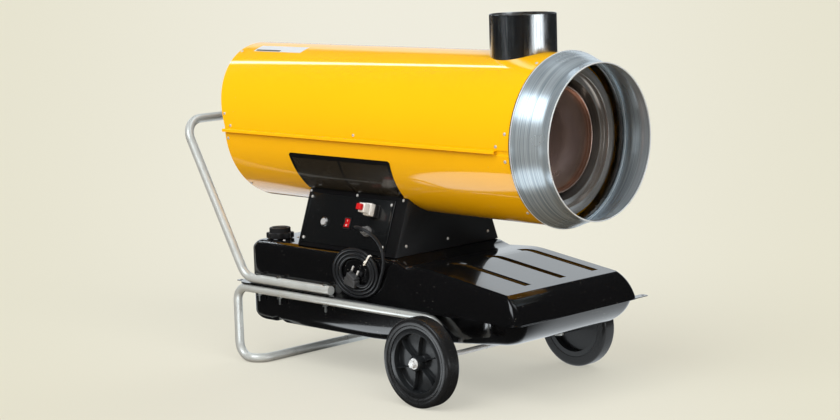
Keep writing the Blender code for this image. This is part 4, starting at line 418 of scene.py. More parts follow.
specks = shader_group("specks", {"Place": ("Vector", (0, 0, 0)), "Scale": ("Float", 160.0),
                                 "Share": ("Float", 0.3), "Size": ("Float", 0.12)}, {"Mask": "Float"})
base = specks.given
cells = specks.add("ShaderNodeTexVoronoi", {"Vector": base["Place"], "Scale": base["Scale"]}).outputs
chance = specks.add("ShaderNodeSeparateColor", {0: cells["Color"]}).outputs[0]
reach = specks.times(base["Size"], specks.span(specks.noise(base["Place"], 7.0, 3.0), 0.35, 0.7))
specks.give("Mask", specks.times(specks.maths("LESS_THAN", chance, base["Share"]),
                                 specks.maths("LESS_THAN", cells["Distance"], reach)))


def surface(name, colour, roughness, metallic=0.0, coat=0.0, coat_roughness=0.05, tone=0.1,
            tone_scale=9.0, spread=0.1, grain=900.0, grain_depth=0.00002, stretch=(1, 1, 1),
            dust=0.0, dust_colour=(0.55, 0.53, 0.48), specular=0.5):
    """A finish with its own tone, gloss and grain, and dust specks where it gathers them."""
    material = bpy.data.materials.new(name)
    nodes = own_nodes(material)
    place = nodes.object_place()
    body = nodes.group(mottle, {
        "Place": nodes.stretched(place, stretch), "Colour": (*colour, 1.0), "Tone": tone,
        "Tone Scale": tone_scale, "Roughness": roughness, "Spread": spread, "Grain Scale": grain})
    base, rough = body["Colour"], body["Roughness"]
    if dust:
        dots = nodes.group(specks, {"Place": place, "Share": dust})["Mask"]
        base = nodes.blend(dots, base, (*dust_colour, 1.0))
        rough = nodes.maths("MAXIMUM", rough, nodes.times(dots, 0.8))
    end_in(nodes, base, rough, body["Height"], grain_depth, {
        "Metallic": metallic, "Coat Weight": coat, "Coat Roughness": coat_roughness,
        "Specular IOR Level": specular})
    return material


def end_in(nodes, colour, roughness, height, height_scale, others):
    """The shader of a finish, with its fine relief as bump, and the material's output."""
    bump = nodes.add("ShaderNodeBump", {"Height": height, "Distance": height_scale}).outputs[0]
    shader = nodes.add("ShaderNodeBsdfPrincipled", {
        "Base Color": colour, "Roughness": roughness, "Normal": bump, **others})
    nodes.add("ShaderNodeOutputMaterial", {"Surface": shader.outputs[0]})


housing_base_z = 0.3047
housing_top_z = 0.43686
housing_base_half = 0.174
housing_top_half = 0.126
sheet_gap = 0.0003
panel_face = 0.0026
gland_place = (0.027, 0.3535)
gland_mouth = 0.0226
slope_run = housing_base_half - housing_top_half
slope_rise = housing_top_z - housing_base_z
slope_length = math.hypot(slope_run, slope_rise)
slope_up = Vector((0, slope_run / slope_length, slope_rise / slope_length))
slope_out = Vector((0, -slope_up.z, slope_up.y))


def panel_frame(x, z, out=0.0):
    """Frame on the sloping side of the housing: local X along the heater, Y up the slope, Z out."""
    y = -housing_top_half - (housing_top_z - z) * slope_run / slope_rise
    return axes_frame((1, 0, 0), slope_up, slope_out, Vector((x, y, z)) + slope_out * out)


cord_radius = 0.0039
coil_steps = 73
coil_points_per_turn = 24
coil_pitch_across = 0.0106
coil_pitch_up = 0.0082
coil_half_width = 0.0823
coil_half_height = 0.0613
coil_x = 0.0165
coil_y = -0.1912
coil_start = math.radians(62)
coil_foot_z = 0.20095
tail_points = 14
tail_pull = 1.9
lead_points = 14
lead_joins = 5
lead_straight = 0.004
lead_pulls = (1.8, 3.4)
plug_rise = math.radians(14)
plug_entry = (0.0075, -0.1968, -0.0275)
coil_centre_z = (coil_foot_z + coil_half_height + cord_radius
                 - coil_pitch_up * (coil_start + math.pi / 2) / math.tau)


def eased_span(start, start_pull, end, end_pull, count):
    """Smooth curve from one place to another that leaves and arrives along the two pulls."""
    route = []
    for i in range(count + 1):
        t = i / count
        route.append(start * (2 * t**3 - 3 * t**2 + 1) + end * (3 * t**2 - 2 * t**3)
                     + start_pull * (t**3 - 2 * t**2 + t) + end_pull * (t**3 - t**2))
    return route


def coil_place(turn):
    """A place on the spiral, counted in turns from its start at the top right."""
    angle = coil_start - math.tau * turn
    across = coil_half_width - coil_pitch_across * turn
    up = coil_half_height - coil_pitch_up * turn
    return Vector((coil_x + across * math.cos(angle), coil_y, coil_centre_z + up * math.sin(angle)))


plug_heading = Vector((-math.cos(plug_rise), 0, math.sin(plug_rise)))
coil = [coil_place(i / coil_points_per_turn) for i in range(lead_joins, coil_steps + 1)]
run = (coil[-1] - coil[-2]).normalized()
entry = Vector((coil_x + plug_entry[0], plug_entry[1], coil_centre_z + plug_entry[2]))
straight = entry - plug_heading * 2 * cord_radius
pull = (straight - coil[-1]).length * tail_pull
coil += eased_span(coil[-1], run * pull, straight, plug_heading * pull, tail_points)[1:] + [entry]

cord_start = panel_frame(*gland_place, gland_mouth).translation + slope_out * sheet_gap
bend_start = cord_start + slope_out * lead_straight
back = (coil[0] - coil[1]).normalized()
reach = (coil[0] - bend_start).length
lead = eased_span(bend_start, slope_out * reach * lead_pulls[0], coil[0], -back * reach * lead_pulls[1],
                  lead_points)
cord_route = [cord_start] + lead + coil[1:]

cord_rubber = surface("cord_rubber", (0.014, 0.015, 0.017), 0.30, tone=0.12, grain=700.0,
                      grain_depth=0.00003, dust=0.15)
cord_curve = bpy.data.curves.new("power_cord", "CURVE")
cord_curve.dimensions = "3D"
cord_curve.bevel_depth = cord_radius
cord_curve.bevel_resolution = 4
cord_curve.use_fill_caps = True
cord_line = cord_curve.splines.new("POLY")
cord_line.points.add(len(cord_route) - 1)
for point, place in zip(cord_line.points, cord_route):
    point.co = (*place, 1)
cord_line.use_smooth = True
cord_curve.materials.append(cord_rubber)
power_cord = new_object("power_cord", cord_curve, heater_collection)
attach(power_cord, "heater")
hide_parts("cord_lead", "cord_coil")

# The plug is moulded in one with the cord's end: a rounded body, a face block set at an
# angle, a ribbed grip and two plated pins with insulated sleeves.
plug_body = (0.036, 0.019, 0.018)
plug_face = (0.028, 0.019, 0.013)
plug_lean = math.radians(30)
pin_spacing = 0.019
pin_radius = 0.0024
pin_length = 0.011
sleeve_radius = 0.0036
sleeve_length = 0.008
grip_ribs = 5
grip_pitch = 0.004
outwards = Vector((0, -1, 0))
plug_up = plug_heading.cross(outwards).normalized()
plug_up = plug_up if plug_up.z > 0 else -plug_up
plug_middle = entry + plug_heading * (sheet_gap + plug_body[0] / 2)
plug_frame = axes_frame(plug_heading, outwards, plug_up, plug_middle)
lean = Vector((math.sin(plug_lean), 0, math.cos(plug_lean)))
lean_across = Vector((lean.z, 0, -lean.x))
face_middle = plug_middle + plug_up * (plug_body[2] / 2) + lean * (plug_face[2] / 4)
shape = bmesh.new()
add_block(shape, plug_body, plug_frame, 0.003)
add_block(shape, plug_face, axes_frame(lean_across, outwards, lean, face_middle), 0.002)
for i in range(grip_ribs):
    add_block(shape, (grip_pitch * 0.4, plug_body[1] + 0.0006, plug_body[2] - 0.003),
              moved(plug_frame, 0.005 - plug_body[0] / 2 + grip_pitch * i, 0, -0.0004), 0.0004, 1)
pins = bmesh.new()
for side in (-1, 1):
    base = face_middle + lean_across * side * pin_spacing / 2
    top = base + lean * (plug_face[2] / 2 + sleeve_length)
    add_rod(shape, base, top, sleeve_radius, 20, 0.0006)
    add_rod(pins, top - lean * sleeve_length / 2, top + lean * pin_length, pin_radius, 20, 0.0012)
plug_plastic = surface("plug_plastic", (0.05, 0.052, 0.055), 0.34, grain=500.0, grain_depth=0.00004,
                       dust=0.12)
plated_pin = surface("plated_pin", (0.84, 0.84, 0.83), 0.25, metallic=0.5, tone=0.05, spread=0.2)
plug_piece = hand_over("plug_moulding", close_mesh(shape), plug_plastic, "power_plug")
pins_piece = hand_over("plug_pins", close_mesh(pins), plated_pin)

# Cable tie: a flat white band round the whole bundle, with its square locking head on the
# outside and a short cut end.
tie_turn = 25 / coil_points_per_turn
tie_loops = 2
tie_width = 0.0045
tie_thickness = 0.001
tie_ease = 0.0009
tie_head = (0.0066, 0.0030, 0.0064)
tie_stub = (0.0055, 0.0011, 0.0036)
outermost = coil_place(tie_turn)
innermost = coil_place(tie_turn + tie_loops)
step_on = 1 / coil_points_per_turn
run_axis = (coil_place(tie_turn + step_on) - coil_place(tie_turn - step_on)).normalized()
radial_axis = Vector((0, 1, 0)).cross(run_axis)
tie_frame = axes_frame(radial_axis, (0, 1, 0), run_axis, (outermost + innermost) / 2)
half_a = abs((outermost - innermost).dot(radial_axis)) / 2 + cord_radius + tie_ease
half_b = cord_radius + sheet_gap
corner = half_b * 0.9
band = bmesh.new()
loops = []
for grow, end in ((0, -1), (tie_thickness, -1), (tie_thickness, 1), (0, 1)):
    ring = []
    for i, (a, b) in enumerate(((1, 1), (-1, 1), (-1, -1), (1, -1))):
        for k in range(7):
            angle = math.pi / 2 * (i + k / 6)
            x = a * (half_a - corner) + (corner + grow) * math.cos(angle)
            y = b * (half_b - corner) + (corner + grow) * math.sin(angle)
            ring.append(tie_frame @ Vector((x, y, end * tie_width / 2)))
    loops.append(ring)
skin(band, loops, looped=True)
tie_out = -half_b - tie_thickness
add_block(band, tie_head, moved(tie_frame, half_a * 0.45, tie_out - 0.0012), 0.0006)
add_block(band, tie_stub, moved(tie_frame, half_a * 0.45 + 0.0058, tie_out - 0.0011), 0.0002, 1)
tie_plastic = surface("tie_plastic", (0.80, 0.79, 0.74), 0.35, tone=0.06, grain=600.0)
tie_piece = hand_over("cable_tie", close_mesh(band), tie_plastic, "cord_tie")


# Casing: two rolled steel shells in gloss yellow enamel. The upper shell's turned-out ledges
# close over the lower one along both sides, and its rear end is cut on a slant.

axis_z = 0.5804
casing_radius = 0.191
casing_wall = 0.0015
casing_rear_x = -0.4361
casing_front_x = 0.5059
rear_slant = 0.0686
ledge_z = 0.5742
ledge_width = 0.0097
ledge_bend = 0.0016
lip_height = 0.0076
ledge_end_x = 0.4679
joggle_radius = casing_radius - 0.0023
joggle_top_angle = 0.06
joggle_slope_angle = 0.012
shell_steps = 96
lengthwise_steps = 24
quarter = math.pi / 2


def arc(radius, start, end, steps, centre=(0, 0)):
    """Places on an arc in a plane."""
    angles = [start + (end - start) * i / steps for i in range(steps + 1)]
    return [(centre[0] + radius * math.cos(angle), centre[1] + radius * math.sin(angle)) for angle in angles]


def give_wall(shape, wall, outward):
    """Give an open sheet its wall, on the inner side of faces turned to the way outward."""
    shape.normal_update()
    if sum(face.normal.dot(outward(face.calc_center_median())) for face in shape.faces) < 0:
        bmesh.ops.reverse_faces(shape, faces=shape.faces)
    bmesh.ops.solidify(shape, geom=shape.faces, thickness=wall)
    return shape


def from_axis(place):
    return Vector((0, place.y, place.z - axis_z))


def slanted_back(z):
    """How far the slanted rear end of the upper shell lies behind the straight one."""
    return rear_slant * max(0.0, z - axis_z) / casing_radius


def rolled_shell(section, slanted):
    """A casing shell from (y, z) points of its outer face."""
    rows = []
    for k in range(lengthwise_steps + 1):
        rows.append([])
        for y, z in section:
            rear = casing_rear_x - slanted * slanted_back(z)
            rows[-1].append((rear + (casing_front_x - rear) * k / lengthwise_steps, y, z))
    shape = bmesh.new()
    skin(shape, rows, closed=False)
    return close_mesh(give_wall(shape, casing_wall, from_axis))


yellow_enamel = surface("yellow_enamel", (0.97, 0.505, 0.0), 0.42, coat=1.0, coat_roughness=0.03, tone=0.035,
                        tone_scale=5.0, spread=0.06, grain=380.0, grain_depth=0.000012, dust=0.05,
                        dust_colour=(0.75, 0.6, 0.3), specular=0.15)
edge_angle = math.asin((axis_z - ledge_z) / casing_radius)
low_z = ledge_z - lip_height
side_y = casing_radius * math.cos(edge_angle)
axis_place = (0, axis_z)
upper_section = arc(casing_radius, math.pi + edge_angle, -edge_angle, shell_steps, axis_place)
hand_over("upper_shell", rolled_shell(upper_section, True), yellow_enamel, "upper_casing")

# The ledges run along the lower edges of the upper shell, folded out and down.
for label, side in (("right", -1), ("left", 1)):
    fold = [(-0.001, 0.0002)] + arc(ledge_bend, quarter, 0, 5, (ledge_width - ledge_bend, -ledge_bend))
    fold.append((ledge_width, low_z - ledge_z))
    ledge = bmesh.new()
    skin(ledge, [[(x, side * (side_y + y), ledge_z + z) for y, z in fold]
                 for x in (casing_rear_x, ledge_end_x - 0.006, ledge_end_x)], closed=False)
    give_wall(ledge, casing_wall, lambda place: Vector((0, 0, 1)))
    hand_over(f"seam_ledge_{label}", close_mesh(ledge, 25), yellow_enamel)

lower_angle = math.asin((axis_z - (low_z - 0.001)) / casing_radius)
full_angle = lower_angle + joggle_slope_angle
lower_section = arc(joggle_radius, joggle_top_angle, -lower_angle, 4, axis_place)
lower_section += arc(casing_radius, -full_angle, full_angle - math.pi, shell_steps, axis_place)
lower_section += arc(joggle_radius, lower_angle - math.pi, -math.pi - joggle_top_angle, 4, axis_place)
hand_over("lower_shell", rolled_shell(lower_section, False), yellow_enamel, "lower_casing")

# Screws: zinc-plated button heads with a cross recess. A row of eight fixes the ring inside
# each end of the shells, and three a side close the seam.
head_radius = 0.0038
head_height = 0.0022
head_sides = 16
screw_zinc = surface("screw_zinc", (0.80, 0.80, 0.79), 0.30, metallic=0.5, tone=0.12, tone_scale=60.0,
                     spread=0.15, grain=2500.0)


def screw_head():
    """Unit button head: a low dome with a cross recess."""
    star = (0.52, 0.24, 0.15, 0.24)
    rings = [([radius] * 4, height) for radius, height in
             ((1.0, -0.3), (1.0, 0.12), (0.93, 0.42), (0.76, 0.74), (0.56, 0.92))]
    rings += [(star, 0.97), ([radius * 0.85 for radius in star], 0.35)]
    rows = []
    for radii, height in rings:
        rows.append([(place.x * radii[i % 4], place.y * radii[i % 4], height)
                     for i, place in enumerate(ring_of(1.0, 0, head_sides))])
    shape = bmesh.new()
    skin(shape, rows, caps=True)
    bmesh.ops.recalc_face_normals(shape, faces=shape.faces)
    return mesh_of(shape)


def geometry_tree(name, inputs):
    """A Geometry Nodes tree with a geometry input and named inputs."""
    tree = bpy.data.node_groups.new(name, "GeometryNodeTree")
    for label, kind in {"Geometry": "Geometry", **inputs, "Material": "Material"}.items():
        new_socket(tree, label, "INPUT", kind)
    new_socket(tree, "Geometry", "OUTPUT", "Geometry")
    return Nodes(tree).ends()


def dress(nodes, geometry):
    """End a Geometry Nodes tree with real geometry in the given material."""
    real = nodes.add("GeometryNodeRealizeInstances", {0: geometry}).outputs[0]
    dressed = nodes.add("GeometryNodeSetMaterial", {"Geometry": real, "Material": nodes.given["Material"]})
    nodes.give("Geometry", dressed.outputs[0])


def plain_mesh(item):
    """The mesh of an object with its modifiers applied. The object is removed."""
    bpy.context.view_layer.update()
    seen = item.evaluated_get(bpy.context.evaluated_depsgraph_get())
    mesh = bpy.data.meshes.new_from_object(seen)
    item.modifiers.clear()
    bpy.data.objects.remove(item, do_unlink=True)
    return mesh


def made_by(nodes, source, values, sharp_degrees=35):
    """The plain mesh that a Geometry Nodes tree makes from a source mesh."""
    maker = new_object("maker", source, heater_collection)
    modifier = maker.modifiers.new("maker", "NODES")
    modifier.node_group = nodes.tree
    for socket in nodes.tree.interface.items_tree:
        if socket.item_type == "SOCKET" and socket.in_out == "INPUT" and socket.name in values:
            modifier[socket.identifier] = values[socket.name]
    mesh = plain_mesh(maker)
    shape = bmesh.new()
    shape.from_mesh(mesh)
    bmesh.ops.remove_doubles(shape, verts=shape.verts, dist=0.00001)
    bmesh.ops.delete(shape, geom=[edge for edge in shape.edges if not edge.link_faces], context="EDGES")
    bmesh.ops.recalc_face_normals(shape, faces=shape.faces)
    shape.to_mesh(mesh)
    shape.free()
    return shaded(mesh, sharp_degrees)


def wire_mesh(lines, closed=False):
    """A mesh of edges only, along each list of places."""
    places, edges = [], []
    for line in lines:
        first, count = len(places), len(line)
        places += [tuple(place) for place in line]
        edges += [(first + i, first + (i + 1) % count) for i in range(count if closed else count - 1)]
    wire = bpy.data.meshes.new("wire")
    wire.from_pydata(places, edges, [])
    return wire


screws = geometry_tree("screws", {"Head": "Object", "Radius": "Float", "Height": "Float"})
base = screws.given
head = screws.add("GeometryNodeObjectInfo", {"Object": base["Head"]}).outputs["Geometry"]
outward = screws.add("GeometryNodeInputNamedAttribute", {"Name": "outward"}, data_type="FLOAT_VECTOR")
facing = screws.add("FunctionNodeAlignRotationToVector", {"Vector": outward.outputs["Attribute"]}, axis="Z")
own_turn = screws.times(screws.add("GeometryNodeInputIndex").outputs[0], 1.7)
own_turn = screws.add("ShaderNodeCombineXYZ", {"Z": own_turn}).outputs[0]
own_turn = screws.add("FunctionNodeEulerToRotation", {0: own_turn}).outputs[0]
turned = screws.add("FunctionNodeRotateRotation", {0: facing.outputs[0], 1: own_turn}, rotation_space="LOCAL")
size = screws.add("ShaderNodeCombineXYZ", {"X": base["Radius"], "Y": base["Radius"], "Z": base["Height"]})
dress(screws, screws.add("GeometryNodeInstanceOnPoints", {
    "Points": base["Geometry"], "Instance": head, "Rotation": turned.outputs[0],
    "Scale": size.outputs[0]}).outputs[0])


def screw_row(name, seats, radius=0.0036, height=0.002):
    """Screw heads on seats, each a place and the way its head faces."""
    pattern = new_object("screw_head", screw_head(), heater_collection)
    source = bpy.data.meshes.new("seats")
    source.from_pydata([tuple(place) for place, outward in seats], [], [])
    facing_way = source.attributes.new("outward", "FLOAT_VECTOR", "POINT")
    for i, (place, outward) in enumerate(seats):
        facing_way.data[i].vector = tuple(outward)
    mesh = made_by(screws, source, {"Head": pattern, "Radius": radius, "Height": height,
                                    "Material": screw_zinc}, 30)
    bpy.data.objects.remove(pattern, do_unlink=True)
    hand_over(name, mesh)


def casing_seat(degrees, x, slanted=False):
    outward = Vector((0, math.cos(math.radians(degrees)), math.sin(math.radians(degrees))))
    place = Vector((x, 0, axis_z)) + outward * casing_radius
    place.x -= slanted * slanted_back(place.z)
    return place, outward


end_angles = (-129, -171, 171, 115, 65, 9, -9, -51)
front_screw_x = 0.4909
rear_screw_x = -0.4271
seam_screw_z = 0.5818
seam_shares = (0.023, 0.487, 0.958)
seam_degrees = math.degrees(math.asin((seam_screw_z - axis_z) / casing_radius))
seats = [casing_seat(degrees, front_screw_x) for degrees in end_angles]
seats += [casing_seat(degrees, rear_screw_x, True) for degrees in end_angles]
for share in seam_shares:
    x = casing_rear_x + (casing_front_x - casing_rear_x) * share
    seats += [casing_seat(seam_degrees, x), casing_seat(180 - seam_degrees, x)]
screw_row("casing_screws", seats, head_radius, head_height)

# Information plate: a gloss black printed film on the lower shell. Its fields are ruled
# into plain panels and carry no words. A silver rating plate lies on the upper shell.
film_wall = 0.0004
plate_radius = casing_radius + 0.0005
field_radius = plate_radius + 0.0003
plate_angles = (196, 229)
plate_spans = ((-0.213, 0.131), (-0.203, 0.119))
plate_split_x = -0.042
plate_corner = 0.006
rating_angles = (104, 114)
rating_spans = ((-0.449, -0.276), (-0.449, -0.276))


def wrapped_film(name, radius, angles, spans, splits, material, corner=0.0):
    """A thin film bent round the casing between two angles, in one or more fields."""
    shape = bmesh.new()
    arc_length = radius * math.radians(abs(angles[1] - angles[0]))
    for low_share, high_share in splits:
        rows = []
        for k in range(25):
            down = k / 24
            angle = math.radians(angles[0] + (angles[1] - angles[0]) * down)
            left, right = (spans[0][i] + (spans[1][i] - spans[0][i]) * down for i in (0, 1))
            near_edge = min(down, 1 - down) * arc_length
            cut = corner - math.sqrt(max(0.0, corner**2 - max(0.0, corner - near_edge)**2))
            start = left + (right - left) * low_share + cut * (low_share == 0)
            end = left + (right - left) * high_share - cut * (high_share == 1)
            y, z = radius * math.cos(angle), axis_z + radius * math.sin(angle)
            rows.append([(start + (end - start) * i / 8, y, z) for i in range(9)])
        skin(shape, rows, closed=False)
    hand_over(name, close_mesh(give_wall(shape, film_wall, from_axis), 30), material)


film_black = surface("film_black", (0.006, 0.0055, 0.005), 0.20, coat=0.6, coat_roughness=0.04, tone=0.2,
                     grain=600.0)
film_brown = surface("film_brown", (0.022, 0.017, 0.010), 0.26, coat=0.6, tone=0.25, tone_scale=14.0,
                     grain=600.0)
film_silver = surface("film_silver", (0.74, 0.77, 0.80), 0.32, metallic=0.2, tone=0.08, spread=0.2)
film_dark = surface("film_dark", (0.06, 0.06, 0.06), 0.35, tone=0.2)
split = (plate_split_x - plate_spans[0][0]) / (plate_spans[0][1] - plate_spans[0][0])
wrapped_film("information_plate", plate_radius, plate_angles, plate_spans, [(0, 1)], film_black, plate_corner)
wrapped_film("plate_fields", field_radius, (plate_angles[0] + 3.6, plate_angles[1] - 2.2), plate_spans,
             [(0.03, split - 0.01), (split + 0.01, 0.97)], film_brown)
wrapped_film("rating_plate", plate_radius, rating_angles, rating_spans, [(0, 1)], film_silver)
wrapped_film("rating_plate_strip", field_radius, (rating_angles[1] - 2.6, rating_angles[1] - 0.6),
             rating_spans, [(0.04, 0.55)], film_dark)


# Rings and outlet cone: pressed rings of galvanised sheet close the ends of the casing, and
# the outlet cone, spun from one sheet, is clamped to the front ring.

spun = geometry_tree("spun_sheet", {"Steps": "Int"})
circle = spun.add("GeometryNodeCurvePrimitiveCircle", {"Radius": 1.0, "Resolution": spun.given["Steps"]})
line = spun.add("GeometryNodeMeshToCurve", {"Mesh": spun.given["Geometry"]})
dress(spun, spun.add("GeometryNodeCurveToMesh", {
    "Curve": circle.outputs[0], "Profile Curve": line.outputs[0]}).outputs[0])
along_x = frame_of((1, 0, 0), (0, 0, axis_z))


def spun_sheet(loops, material, matrix=along_x, steps=128, sharp_degrees=40):
    """Closed (radius, height) outlines turned round local Z, set in place by a matrix."""
    source = wire_mesh([[(radius - 1, -height, 0) for radius, height in loop] for loop in loops], closed=True)
    mesh = made_by(spun, source, {"Steps": steps, "Material": material}, sharp_degrees)
    mesh.transform(matrix)
    return mesh


def sheet_outline(places, wall):
    """Closed outline of a bent sheet of one wall thickness, from points along one face."""
    places = [Vector(place) for place in places]
    runs = [(after - before).normalized() for before, after in zip(places, places[1:])]
    other = []
    for i, here in enumerate(places):
        normals = [Vector((-run.y, run.x)) for run in runs[max(0, i - 1):i + 1]]
        middle = sum(normals, Vector((0, 0))).normalized()
        other.append(here + middle * (wall / max(0.35, middle.dot(normals[0]))))
    return places + other[::-1]


turned_marks = shader_group(
    "turned_marks",
    {"Place": ("Vector", (0, 0, 0)), "Axis Height": ("Float", 0.58), "Fineness": ("Float", 400.0),
     "Smear": ("Float", 0.6)},
    {"Rings": "Float", "Clouds": "Float", "Radius": "Float"})
base = turned_marks.given
axes = turned_marks.add("ShaderNodeSeparateXYZ", {0: base["Place"]}).outputs
up = turned_marks.minus(axes["Z"], base["Axis Height"])
off_axis = turned_marks.add("ShaderNodeCombineXYZ", {"Y": axes["Y"], "Z": up}).outputs[0]
radius_out = turned_marks.vector("LENGTH", off_axis, output="Value")
smear = turned_marks.scaled(turned_marks.vector("NORMALIZE", off_axis), base["Smear"])
along = turned_marks.plus(turned_marks.times(radius_out, base["Fineness"]),
                          turned_marks.times(axes["X"], base["Fineness"]))
along = turned_marks.add("ShaderNodeCombineXYZ", {"X": along}).outputs[0]
turned_marks.give("Rings", turned_marks.noise(turned_marks.vector("ADD", along, smear), 1.0, 3.0))
turned_marks.give("Clouds", turned_marks.noise(base["Place"], 11.0, 5.0))
turned_marks.give("Radius", radius_out)


def spun_metal(name, dark, light, roughness, fineness, cloud_share=0.5, rough_spread=0.2, height=0.00004,
               metallic=1.0, heat_reach=0.0, heat_tints=()):
    """Bare spun sheet with fine turning marks and cloudy patches between two tones.

    Heat tints, each at a share of the heat reach, colour it from the axis outwards.
    """
    material = bpy.data.materials.new(name)
    nodes = own_nodes(material)
    marks = nodes.group(turned_marks, {"Place": nodes.object_place(), "Axis Height": axis_z,
                                       "Fineness": fineness})
    clouds = nodes.span(marks["Clouds"], 0.22, 0.78)
    rings = nodes.span(marks["Rings"], 0.3, 0.7)
    share = nodes.plus(nodes.times(clouds, cloud_share), nodes.times(rings, 1 - cloud_share))
    colour = nodes.blend(share, (*dark, 1.0), (*light, 1.0))
    if heat_tints:
        ramp = nodes.add("ShaderNodeValToRGB", {0: nodes.span(marks["Radius"], 0.0, heat_reach)})
        for i, (at, tint) in enumerate(heat_tints):
            stop = ramp.color_ramp.elements[i] if i < 2 else ramp.color_ramp.elements.new(at)
            stop.position = at
            stop.color = (*tint, 1.0)
        colour = nodes.blend(1.0, colour, ramp.outputs["Color"], "MULTIPLY")
    rough = nodes.plus(roughness, nodes.times(nodes.minus(clouds, 0.5), rough_spread))
    end_in(nodes, colour, nodes.maths("MAXIMUM", rough, 0.06), marks["Rings"], height, {"Metallic": metallic})
    return material


cone_wall = 0.0013
ring_wall = 0.0015
outlet_steps = 160
cone_metal = spun_metal("spun_galvanised", (0.28, 0.36, 0.43), (0.82, 0.93, 1.0), 0.24, 700.0, 0.25, 0.10,
                        metallic=0.68)
# Painted shade: the pressed rings are darkened well below bare galvanised sheet, so that the gap between the
# casing and the cone reads as a dark line. The exchanger brackets share this darkened metal.
gap_shade_ring_metal = spun_metal("pressed_galvanised_shade_darkened", (0.26, 0.25, 0.24), (0.52, 0.51, 0.50), 0.26, 900.0)
bead_metal = spun_metal("worn_rim", (0.72, 0.78, 0.82), (0.92, 0.95, 0.97), 0.30, 900.0, 0.5, 0.1,
                        metallic=0.4)
cone_face = [(0.1885, 0.5093), (0.1944, 0.5093), *arc(0.0012, -quarter, 0, 4, (0.1944, 0.5105)),
             (0.1956, 0.5122), (0.1898, 0.5262), (0.1846, 0.5412), (0.1792, 0.5572), (0.1748, 0.5702),
             (0.1730, 0.5762), (0.1725, 0.5800), (0.1725, 0.5988)]
rolled_rim = arc(0.0015, 0, math.tau, 12, (0.1719, 0.5984))[:-1]
back_bead = arc(0.0014, 0, math.tau, 10, (0.1952, 0.5110))[:-1]
front_flange = [(0.1866, 0.4815), (0.1866, 0.5050), *arc(0.0014, math.pi, quarter, 4, (0.1880, 0.5050))[1:],
                (0.1945, 0.5064)]
rear_flange = [(0.1676, -0.4338), (0.1846, -0.4338), *arc(0.0020, -quarter, 0, 4, (0.1846, -0.4318))[1:],
               (0.1866, -0.3890)]
for name, loops, material, node in (
        ("outlet_beads", [rolled_rim, back_bead], bead_metal, None),
        ("outlet_spinning", [sheet_outline(cone_face, cone_wall)], cone_metal, "outlet_cone"),
        ("front_end_ring", [sheet_outline(front_flange, ring_wall)[::-1]], gap_shade_ring_metal, "front_ring"),
        ("rear_end_ring", [sheet_outline(rear_flange, ring_wall)], gap_shade_ring_metal, "rear_ring")):
    hand_over(name, spun_sheet(loops, material, steps=outlet_steps, sharp_degrees=32), None, node)


# Heat exchanger and combustion chamber, seen down the outlet: a domed chamber of heated
# steel inside an annular exchanger, joined by short ducts and held by angle brackets.

chamber_radius = 0.1222
chamber_front_x = 0.475
chamber_rear_x = -0.09
rim_width = 0.0055
burner_port = 0.034
dome_foot_x = 0.467
dome_rise = 0.016
exchanger_radius = 0.174
exchanger_inner = 0.137
exchanger_step = 0.152
exchanger_front_x = 0.495
exchanger_rear_x = -0.061
exchanger_step_x = 0.483
heated_dome = spun_metal(
    "heated_dome", (0.34, 0.23, 0.19), (0.52, 0.37, 0.31), 0.24, 260.0, 0.7, 0.12, 0.00003, 0.9,
    chamber_radius, ((0.0, (0.86, 0.80, 0.78)), (1.0, (1.9, 2.1, 2.2)), (0.45, (0.95, 0.90, 0.93)),
                     (0.8, (1.05, 0.98, 0.92)), (0.94, (1.3, 1.1, 0.95))))
exchanger_metal = spun_metal("exchanger_metal", (0.38, 0.34, 0.31), (0.70, 0.66, 0.62), 0.20, 300.0, 0.5,
                             0.16, metallic=0.85)
dome_radius = chamber_radius - rim_width
dome_sphere = (dome_radius**2 + dome_rise**2) / (2 * dome_rise)


def dome_line(radius, inset=0.0):
    """The dome's outline from the axis out to a radius."""
    top = dome_foot_x + dome_rise - inset - dome_sphere
    return [(radius * i / 24, top + math.sqrt(dome_sphere**2 - (radius * i / 24)**2)) for i in range(25)]


chamber_loop = dome_line(dome_radius)
chamber_loop += [(dome_radius + 0.0004, dome_foot_x + 0.0006),
                 (dome_radius + 0.0006, chamber_front_x - 0.0008)]
rim_middle = ((chamber_radius + dome_radius) / 2, chamber_front_x - 0.0024)
chamber_loop += arc(0.0024, math.pi, 0, 8, rim_middle)[1:-1]
chamber_loop += [(chamber_radius - inset, x) for inset, x in (
    (0, chamber_front_x - 0.003), (0, dome_foot_x - 0.004), (0.0008, dome_foot_x - 0.005),
    (0.0008, chamber_rear_x + 0.004), (0.004, chamber_rear_x), (chamber_radius - burner_port, chamber_rear_x),
    (chamber_radius - burner_port, chamber_rear_x + 0.002), (0.006, chamber_rear_x + 0.002),
    (0.0028, chamber_rear_x + 0.006), (0.0028, dome_foot_x - 0.004))]
chamber_loop += dome_line(dome_radius - 0.002, 0.002)[::-1]
hand_over("chamber_shell", spun_sheet([chamber_loop], heated_dome), None, "combustion_chamber")

exchanger_loop = [(exchanger_inner, exchanger_step_x), (exchanger_step - 0.0015, exchanger_step_x)]
exchanger_loop += arc(0.0015, -quarter, 0, 4, (exchanger_step - 0.0015, exchanger_step_x + 0.0015))[1:]
exchanger_loop += arc(0.002, math.pi, quarter, 4, (exchanger_step + 0.002, exchanger_front_x - 0.002))
exchanger_loop += arc(0.002, quarter, 0, 4, (exchanger_radius - 0.002, exchanger_front_x - 0.002))
exchanger_loop += [(exchanger_radius, exchanger_rear_x + 0.002), (exchanger_radius - 0.002, exchanger_rear_x),
                   (exchanger_inner + 0.002, exchanger_rear_x), (exchanger_inner, exchanger_rear_x + 0.002)]
hand_over("exchanger_drum", spun_sheet([exchanger_loop], exchanger_metal), None, "heat_exchanger")

# Ducts carry the hot gas from the chamber into the exchanger, and small angle brackets in two
# rings of four hold the exchanger off the casing.
duct_x = 0.425
duct_radius = 0.02
duct_overlap = 0.004
bracket_xs = (0.463, 0.04)
bracket_width = 0.018
bracket_length = 0.02
bracket_sheet = 0.0018


